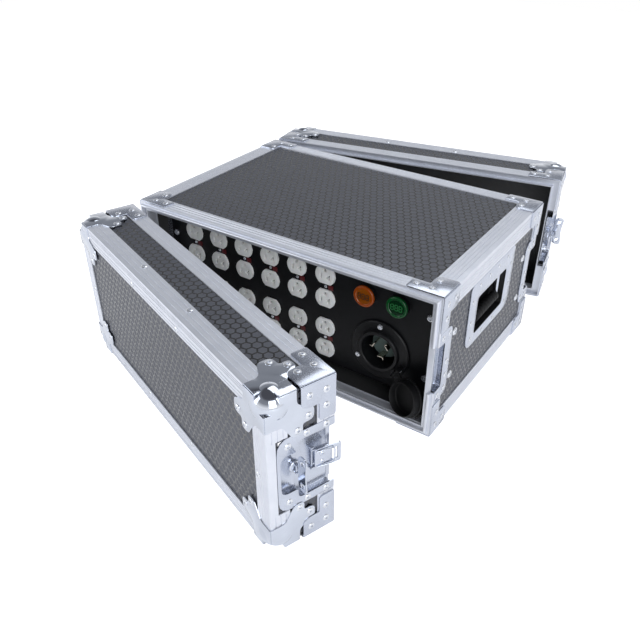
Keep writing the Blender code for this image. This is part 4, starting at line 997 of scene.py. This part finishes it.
def tube(points, radius, sides=12, bend=0.0):
    """A round bar along a route of points, with its corners bent to a radius."""
    points = [Vector(point) for point in points]
    route = [points[0]]
    for before, corner, after in zip(points, points[1:], points[2:]):
        route += eased(before, corner, after, bend, 6)
    route.append(points[-1])
    shape = bmesh.new()
    rings = []
    side_way = (route[1] - route[0]).orthogonal().normalized()
    turns = [2 * pi * k / sides for k in range(sides)]
    for index, point in enumerate(route):
        way = (route[min(index + 1, len(route) - 1)] - route[max(index - 1, 0)]).normalized()
        side_way = (side_way - way * side_way.dot(way)).normalized()
        other_way = way.cross(side_way)
        spokes = [(side_way * cos(turn) + other_way * sin(turn)) * radius for turn in turns]
        rings.append([shape.verts.new(point + spoke) for spoke in spokes])
    for first, second in zip(rings, rings[1:]):
        for k in range(sides):
            after = (k + 1) % sides
            shape.faces.new((first[k], first[after], second[after], second[k]))
    shape.faces.new(rings[0])
    shape.faces.new(rings[-1])
    bmesh.ops.recalc_face_normals(shape, faces=shape.faces)
    return mesh_of(shape)


claw = bmesh.new()
claw_outline = both_sides(((-CLAW_TIP, CLAW_W / 2, 0.003), (-0.0020, CLAW_W / 2, 0.002)))
claw_window = both_sides(((-0.0235, 0.0085, 0.001), (-0.0305, 0.0085, 0.001)))
claw_plate = pressed(claw_outline, CLAW_T, 0.0005, [claw_window])
stamp(claw, claw_plate, ON_END @ at(0, 0, CLAW_UNDER))
tooth_half = CLAW_W / 2 - 0.001
tooth_low = (0.0010, -CLAW_TIP, -tooth_half)
stamp(claw, block(tooth_low, (CLAW_UNDER + 0.0008, -CLAW_TIP + 0.0018, tooth_half)))
for side in (-1, 1):
    side_low = (-0.0012, -CLAW_SIDE_END, side * CLAW_W / 2)
    stamp(claw, block(side_low, (CLAW_UNDER + 0.0006, 0.0016, side * (CLAW_W / 2 - CLAW_SIDE_T))))
    stamp(claw, SMALL_RIVET, looking((CLAW_UNDER + CLAW_T, -0.0110, side * 0.0062), (1, 0, 0)), 1)
stamp(claw, rod(PIN_R, CLAW_W / 2 + EAR_T, 12))
claw_top = CLAW_UNDER + CLAW_T
wire_half = [(claw_top + 0.0008, -WIRE_START), (claw_top + 0.0022, -WIRE_END)]
wire_z = CLAW_W / 2 - 0.0025
wire = [*((*point, -wire_z) for point in wire_half), *((*point, wire_z) for point in reversed(wire_half))]
stamp(claw, tube(wire, WIRE_R, 10, 0.004), AS_DRAWN, 1)
claw_rest = at(-PIVOT_INSET, PIVOT_DEPTH, 0) @ turned(SWING, "Z")
on_latches(claw, "latch_claw", [zinc, chrome], "zinc_sheet", "latch_hook", claw_rest)

# Recessed handles
# A deep drawn zinc plated dish in each end, riveted all round. Its pocket is zinc too, but is coloured black
# as painted shade.
HANDLE_HALF_W = 0.0790
HANDLE_HALF_H = 0.0535
HANDLE_Y = -0.0025
HANDLE_Z = 0.142
HANDLE_T = 0.0015
HANDLE_TOP = 0.0002
POCKET_HALF_W = 0.0522
POCKET_HALF_H = 0.0307
POCKET_DROP = 0.0060
POCKET_DEEP = 0.0178
# Painted shade for the zinc pocket: deep black with a soft sheen and a slight orange peel.
black_paint = new_surface("black painted shade of the handle pockets", "0c0c0d", 0.42)
speckled(black_paint, 900.0, 0.34, 0.52, 0.12)


def oblong(half, low, high, low_radius, high_radius):
    """An outline as wide on both sides of x = 0, between two heights."""
    upper = [(x, high, high_radius) for x in (-half, half)]
    return [*upper, *((x, low, low_radius) for x in (half, -half))]


handle_window = oblong(POCKET_HALF_W, -POCKET_HALF_H - POCKET_DROP, POCKET_HALF_H - POCKET_DROP, 0.006, 0.006)
handle_outline = oblong(HANDLE_HALF_W, -HANDLE_HALF_H, HANDLE_HALF_H, 0.020, 0.009)
handle_plate = pressed(handle_outline, HANDLE_T, 0.0005, [handle_window])
handle = bmesh.new()
stamp(handle, handle_plate, ON_END @ at(0, 0, HANDLE_TOP - HANDLE_T))
# The pocket's walls and floor take the black painted shade in slot 2.
stamp(handle, pan(handle_window, -0.0002, -POCKET_DEEP, ease=0.003), ON_END, 2)
for side in (-1, 1):
    for along, up in (
        (0.0500, 0.0440), (0.0160, 0.0440), (0.0690, 0.0250),
        (0.0690, -0.0100), (0.0640, -0.0390), (0.0210, -0.0462),
    ):
        stamp(handle, SMALL_RIVET, looking((HANDLE_TOP, side * along, up), (1, 0, 0)), 1)
HANDLES = {
    side_name: at(side * half_w, HANDLE_Y, HANDLE_Z) @ turned(turn, "Z")
    for side_name, side, turn in (("left", -1, pi), ("right", 1, 0.0))
}
for side_name, place in HANDLES.items():
    materials = [zinc, tin, black_paint]
    node = f"{side_name}_handle_dish"
    fit(handle, place, f"{side_name}_handle_pressing", materials, "case", "zinc_sheet", node)

# Handle bails
# A chromed steel rod bent to a bail, hung from the ends of the pocket, with a ribbed rubber grip along it.
BAIL_R = 0.0030
BAIL_BEND = 0.0055
BAIL_DROP = 0.0370
BAIL_INSET = 0.0085
BAIL_UP = 0.0247
GRIP_R = 0.0074
GRIP_HALF = 0.0398
RIBS = 9
# Dull black that catches hardly any light.
rubber = new_surface("black moulded rubber", "060608", 0.62, Specular_IOR_Level=0.35)
speckled(rubber, 1300.0, 0.52, 0.72, 0.2)
arm = GRIP_HALF + BAIL_R
bail_half = [(0, -POCKET_HALF_W, 0), (0, -arm, 0), (0, -arm, -BAIL_DROP)]
bail_route = [*bail_half, *((x, -y, z) for x, y, z in reversed(bail_half))]
bail = bmesh.new()
stamp(bail, tube(bail_route, BAIL_R, 16, BAIL_BEND))
grip_line = [(0.0, -GRIP_HALF), *stepped(GRIP_R, -GRIP_HALF, (-1.2, 0), (0, 1.6))]
for rib in range(1, RIBS):
    middle = -GRIP_HALF + 2 * GRIP_HALF * rib / RIBS
    grip_line += stepped(GRIP_R, middle, (0, -0.8), (-0.7, 0), (0, 0.8))
grip_line += [*stepped(GRIP_R, GRIP_HALF, (0, -1.6), (-1.2, 0)), (0.0, GRIP_HALF)]
grip_place = at(0, 0, -BAIL_DROP) @ turned(-pi / 2, "X")
stamp(bail, lathe(grip_line, 28), grip_place, 1)
for side_name, place in HANDLES.items():
    hinge = place @ at(-BAIL_INSET, 0.0, BAIL_UP - POCKET_DROP)
    body = f"{side_name}_handle_bail"
    fit(bail, hinge, f"{body}_rod_and_grip", [chrome, rubber], body, "black_rubber", body)

# Rack panel
# 2 mm sheet steel, punched for the outlets, the meters and the inlet, and powder coated in fine black. Four
# screws through its end slots hold it to the rails.
PANEL_FRONT = -(HALF_D - 0.040)
RACK_X = 0.2326
RACK_Z = 0.0508
FIRST_X = -0.1905
PITCH = 0.0508
ROW_Z = 0.04445
# Blue black and matt, with the fine pebble of the powder.
powder = new_surface("black powder coat", "07080c", 0.5, Specular_IOR_Level=0.3)
speckled(powder, 1500.0, 0.40, 0.56, 0.25)
refinish(powder, "front_panel")


def screw_head(radius, height):
    """A pan head with a socket in its middle, about Z, sitting on z = 0."""
    profile = ((0, 0.15), (0.30, 0.15), (0.36, 0.90), (0.55, 1), (0.85, 0.78), (1, 0.25), (1, -0.2))
    return lathe([(radius * x, height * z) for x, z in profile], 18)


RACK_SCREW = screw_head(0.0052, 0.0026)
PLATE_SCREW = screw_head(0.0026, 0.0010)
DUPLEXES = [(column, FIRST_X + column * PITCH, mid_z + row * ROW_Z) for column in range(6) for row in (-1, 1)]
screws = bmesh.new()
for x in (-RACK_X, RACK_X):
    for z in (-RACK_Z, RACK_Z):
        stamp(screws, RACK_SCREW, looking((x, PANEL_FRONT, mid_z + z), (0, -1, 0)))
for _, x, z in DUPLEXES:
    stamp(screws, PLATE_SCREW, looking((x, PANEL_FRONT, z), (0, -1, 0)))
fit(screws, AS_DRAWN, "panel_screws", [tin], "case", "chrome")

# Circuit tags
# Small dark red engraved plastic tags, one beside the centre screw of each duplex outlet.
TAG_W = 0.0086
TAG_H = 0.0076
TAG_T = 0.0009
TAG_ASIDE = 0.0046
# A dull wine red.
tag_red = new_surface("dark red engraving laminate", "5c1a1e", 0.45)
speckled(tag_red, 700.0, 0.38, 0.52, 0.1)
tags = bmesh.new()
for _, x, z in DUPLEXES:
    tag_low = (x + TAG_ASIDE, PANEL_FRONT - TAG_T, z - TAG_H / 2)
    stamp(tags, block(tag_low, (x + TAG_ASIDE + TAG_W, PANEL_FRONT, z + TAG_H / 2), 0.0002))
fit(tags, AS_DRAWN, "circuit_tags", [tag_red], "case", "black_paint")

# Duplex outlets
# White nylon faces pushed through the panel's holes: a round earth hole above, a straight slot to the left
# and a T slot to the right, with brass deep inside. Two duplex outlets share the yoke of each column.
FACE_PITCH = 0.0389
FACE_W = 0.0338
FACE_H = 0.0283
FACE_OUT = 0.0030
FACE_IN = 0.0035
YOKE_HALF_W = 0.0175
YOKE_HALF_H = 0.0335
YOKE_D = 0.0300
# Warm white and softly glossy, and black where the light doesn't reach into the slots.
nylon = new_surface("white moulded nylon", "fcfbf8", 0.38, Subsurface_Weight=0.05)
speckled(nylon, 500.0, 0.32, 0.44, 0.06)
hollow_black = new_surface("unlit hollow", "0a0908", 0.8)
# A face is a disc cut flat above and below.
arc_end = asin(FACE_H / FACE_W)
arc = [(FACE_W / 2 * cos(arc_end * k / 6), FACE_W / 2 * sin(arc_end * k / 6)) for k in range(-6, 7)]
face_outline = [*arc, *((-x, -y) for x, y in arc)]
slot_left = ((-0.0082, -0.0066), (-0.0052, -0.0066), (-0.0052, 0.0014), (-0.0082, 0.0014))
slot_right = (
    (0.0056, -0.0068), (0.0084, -0.0068), (0.0084, 0.0016), (0.0056, 0.0016),
    (0.0056, -0.0012), (0.0020, -0.0012), (0.0020, -0.0040), (0.0056, -0.0040),
)
earth = (
    (-0.0028, 0.0056), (0.0028, 0.0056),
    (0.0028, 0.0090, 0.0026), (0.0, 0.0114, 0.0026), (-0.0028, 0.0090, 0.0026),
)
FACE = pressed(face_outline, FACE_OUT + FACE_IN, 0.0009, [slot_left, slot_right, earth])
BACKING = block((-0.0110, -0.0085, 0.0004), (0.0110, 0.0120, 0.0010), 0)
ON_PANEL = Matrix(((1, 0, 0, 0), (0, 0, -1, 0), (0, 1, 0, 0), (0, 0, 0, 1)))
for column in range(6):
    outlets = bmesh.new()
    for own_column, x, z in DUPLEXES:
        if own_column != column:
            continue
        for half in (-1, 1):
            place = at(x, PANEL_FRONT + FACE_IN, z + half * FACE_PITCH / 2) @ ON_PANEL
            stamp(outlets, FACE, place)
            stamp(outlets, BACKING, place, 1)
        yoke_low = (x - YOKE_HALF_W, PANEL_FRONT + 0.0030, z - YOKE_HALF_H)
        stamp(outlets, block(yoke_low, (x + YOKE_HALF_W, PANEL_FRONT + YOKE_D, z + YOKE_HALF_H), 0.0008))
    node = f"outlet_column_{column + 1}"
    fit(outlets, AS_DRAWN, f"{node}_faces", [nylon, hollow_black], "case", "white_nylon", node)

# Panel meters
# Round digital meters with a domed, tinted polycarbonate lens over a dark window, in which three dim figures
# can be read. A black nylon nut holds each behind the panel.
METER_XS = (0.1331, 0.1852)
METER_Z = mid_z + 0.0555
METER_R = 0.0164
METER_OUT = 0.0108
DIGIT_PITCH = 0.0064
SEGMENT_L = 0.0042
SEGMENT_W = 0.0012
# Black with a faint moulded sheen.
plastic = new_surface("black moulded nylon", "09090c", 0.45, Specular_IOR_Level=0.35)
speckled(plastic, 800.0, 0.38, 0.52, 0.1)


def figure_eight(shape, middle, up):
    """Seven lit bars of one figure, lying on the lens window."""
    lying = Vector((SEGMENT_L / 2 - 0.0003, SEGMENT_W / 2, 0.0001))
    standing = Vector((lying.y, lying.x, lying.z))
    bars = [(0.0, level, lying) for level in (-1, 0, 1)]
    bars += [(side, level, standing) for side in (-0.5, 0.5) for level in (-0.5, 0.5)]
    for side, level, half in bars:
        centre = Vector((middle + side * SEGMENT_L, level * SEGMENT_L, up))
        stamp(shape, block(centre - half, centre + half, 0), AS_DRAWN, 3)


# The lens glows a little in its own colour, and the window under it is darker.
for x, name, lens_colour, glow_colour, window_colour in (
    (METER_XS[0], "amber", "8c3d08", "1c1004", "8a480c"),
    (METER_XS[1], "green", "08431e", "1a6331", "062c14"),
):
    lens_plastic = new_surface(f"{name} tinted polycarbonate", lens_colour, 0.16)
    set_finish(lens_plastic, Emission_Color=srgb(lens_colour), Emission_Strength=0.12)
    dark_window = new_surface(f"{name} smoked window", window_colour, 0.12)
    lit = new_surface(f"{name} figure", glow_colour, 0.4)
    set_finish(lit, Emission_Color=srgb(glow_colour), Emission_Strength=0.10)
    meter = bmesh.new()
    lens_line = [
        *stepped(METER_R, METER_OUT, (-0.6, -4.2), (0, -3.6), (0, -1.4), (-0.6, -0.4)),
        *stepped(METER_R, METER_OUT, (-1.6, 0), (-3.8, -0.2), (-4.6, -1)),
    ]
    stamp(meter, lathe(((METER_R - 0.0006, 0.0002), lens_line[0]), 40))
    stamp(meter, lathe(lens_line, 40), AS_DRAWN, 1)
    window_line = (lens_line[-1], *stepped(0.0, METER_OUT, (6, -0.8), (0, -0.8)))
    stamp(meter, lathe(window_line, 40), AS_DRAWN, 2)
    for digit in (-1, 0, 1):
        figure_eight(meter, digit * DIGIT_PITCH, METER_OUT - 0.0007)
    nut = ((14.4, 0), (14.4, -2.3), (16.7, -2.3), (16.7, -7.2), (13.4, -7.2), (13.4, -32), (0, -32))
    stamp(meter, lathe(stepped(0.0, 0.0, *nut), 28))
    place = at(x, PANEL_FRONT, METER_Z) @ ON_PANEL
    materials = [plastic, lens_plastic, dark_window, lit]
    fit(meter, place, f"{name}_meter_lens", materials, "case", f"{name}_lens", f"{name}_meter")

# Locking inlet
# A black nylon flange with a raised collar round a deep bore. Three bent brass blades, nickel plated, stand
# in it on a grey-green insulator, and three screws hold the flange.
INLET = Vector((0.1592, PANEL_FRONT, mid_z - 0.0292))
FLANGE_R = 0.0478
FLANGE_H = 0.0040
COLLAR_R = 0.0330
COLLAR_TOP = 0.0090
BORE_R = 0.0273
BORE_FLOOR = COLLAR_TOP - 0.0340
ISLAND_R = 0.0215
ISLAND_TOP = BORE_FLOOR + 0.0110
BLADE_RING = 0.0120
BLADE_TURN = 36
BLADE_T = 0.0018
BLADE_HALF = 0.0050
BLADE_TIP = BORE_FLOOR + 0.0270
BLADE_BENT = 0.0060
BLADE_FOOT = 0.0036
SCREW_RING = 0.0405
HINGE_R = 0.0395
HINGE_OUT = 0.0130
HINGE_HALF = 0.0034
CLOCK = radians(-33.0)
STRAP_W = 0.0140
# A dull grey green moulding, and yellowish bright blades.
insulator = new_surface("grey-green insulator", "5f6f6b", 0.5)
nickel = new_surface("nickel plated brass", "d8d2c4", 0.2, 1.0)
brushed(nickel, "ddd8cc", "c4bdae", 0.15, 0.28)
FLANGE_SCREW = screw_head(0.0042, 0.0020)
inlet = bmesh.new()
flange_line = [
    (BORE_R, BORE_FLOOR),
    *stepped(BORE_R, COLLAR_TOP, (0, -0.8), (0.8, 0)),
    *stepped(COLLAR_R, COLLAR_TOP, (-1.2, 0), (0, -1.2)),
    *stepped(COLLAR_R, FLANGE_H, (0.6, 0.4), (1.4, 0)),
    *stepped(FLANGE_R, FLANGE_H, (-1.6, 0), (0, -1.4)),
    (FLANGE_R, 0.0002),
]
stamp(inlet, lathe(flange_line, 72))
barrel_end = BORE_FLOOR - 0.0038
stamp(inlet, lathe(((BORE_R + 0.0021, 0.0), (BORE_R + 0.0021, barrel_end), (0.0, barrel_end)), 40))
stamp(inlet, lathe(((BORE_R, BORE_FLOOR), (0.0, BORE_FLOOR)), 40))
island = stepped(ISLAND_R, ISLAND_TOP, (0, -0.8), (-0.8, 0))
stamp(inlet, lathe([(ISLAND_R, BORE_FLOOR), *island, (0.0, ISLAND_TOP)], 40), AS_DRAWN, 1)
for index in range(3):
    turn_blade = turned(radians(BLADE_TURN + 120 * index), "Z")
    inner = BLADE_RING - BLADE_T / 2
    outer = BLADE_RING + BLADE_T / 2
    blade = block((inner, -BLADE_HALF, ISLAND_TOP - 0.0010), (outer, BLADE_HALF, BLADE_TIP))
    stamp(inlet, blade, turn_blade, 2)
    foot_low = (inner, BLADE_HALF - BLADE_T, BLADE_TIP - BLADE_BENT)
    stamp(inlet, block(foot_low, (outer + BLADE_FOOT, BLADE_HALF, BLADE_TIP)), turn_blade, 2)
    spot = turned(radians(90 + 120 * index), "Z") @ Vector((SCREW_RING, 0, FLANGE_H))
    stamp(inlet, FLANGE_SCREW, at(*spot), 3)
for side in (-1, 1):
    lug_low = (HINGE_R - HINGE_HALF, side * (STRAP_W / 2 + GAP), FLANGE_H - 0.0002)
    lug_high = (HINGE_R + HINGE_HALF, side * (STRAP_W / 2 + 0.0025), HINGE_OUT + 0.0030)
    stamp(inlet, block(lug_low, lug_high, 0.0008), turned(CLOCK, "Z"))
materials = [plastic, insulator, nickel, tin]
place = at(*INLET) @ ON_PANEL
fit(inlet, place, "inlet_flange_and_blades", materials, "case", "dark_plastic", "inlet")

# Inlet cover
# A moulded rubber cap with a hollow plug under it and a thick lip, on a strap from the inlet's flange.
CAP_R = 0.0290
CAP_T = 0.0040
PLUG_R = 0.0265
PLUG_IN = PLUG_R - 0.0025
PLUG_D = 0.0100
STRAP_HALF_T = 0.0014
TAB_HALF_W = 0.0060
TAB_HALF_T = 0.0012
OPEN = radians(157.0)
under = COLLAR_TOP + GAP - HINGE_OUT
top = under + CAP_T
cap_line = [
    (0.0, top),
    *stepped(CAP_R, top, (-1.5, 0), (-0.4, -0.5), (0, -1.6)),
    *stepped(CAP_R, under, (0, 1.2), (-1, 0)),
    *stepped(PLUG_R, under, (0, 0), (-0.2, -1.5)),
    *stepped(PLUG_R, under - PLUG_D, (-1, 0.8), (-1.8, 0)),
    *stepped(PLUG_IN, under - PLUG_D, (0, 0), (-0.6, 0.8)),
    *stepped(PLUG_IN, top, (-1, -3.4), (-2.4, -2.1)),
    (0.0, top - 0.0020),
]
cover = bmesh.new()
# The hinge frame: X along the hinge, Y back towards the panel, Z from the hinge to the inlet's axis.
facing_out = turned(pi / 2, "X")
stamp(cover, lathe(cap_line, 64), at(0, 0, HINGE_R) @ facing_out)
strap_low = (-STRAP_W / 2, -STRAP_HALF_T, 0.0)
stamp(cover, block(strap_low, (STRAP_W / 2, STRAP_HALF_T, HINGE_R - CAP_R + 0.003), 0.0008))
cap_end = HINGE_R + CAP_R
tab_low = (-TAB_HALF_W, -TAB_HALF_T, cap_end - 0.002)
stamp(cover, block(tab_low, (TAB_HALF_W, TAB_HALF_T, cap_end + 0.0035), 0.0010))
stamp(cover, rod(0.0022, STRAP_W / 2, 16), turned(pi / 2, "Y"))
pivot = INLET + Vector((cos(CLOCK), 0, sin(CLOCK))) * HINGE_R - Vector((0, HINGE_OUT, 0))
place = at(*pivot) @ turned(-CLOCK - pi / 2, "Y") @ turned(OPEN, "X")
fit(cover, place, "inlet_cover_cap", [rubber], "inlet_cover", "black_rubber", "inlet_cover")

# Rails, chassis and breakers
# Folded zinc plated rails and tray, moulded breakers, and a white rocker lever.
refinish(zinc, "left_rack_rail", "right_rack_rail", "chassis", "chassis_cover")
refinish(plastic, "branch_breakers", "main_breaker")
refinish(nylon, "main_breaker_toggle")
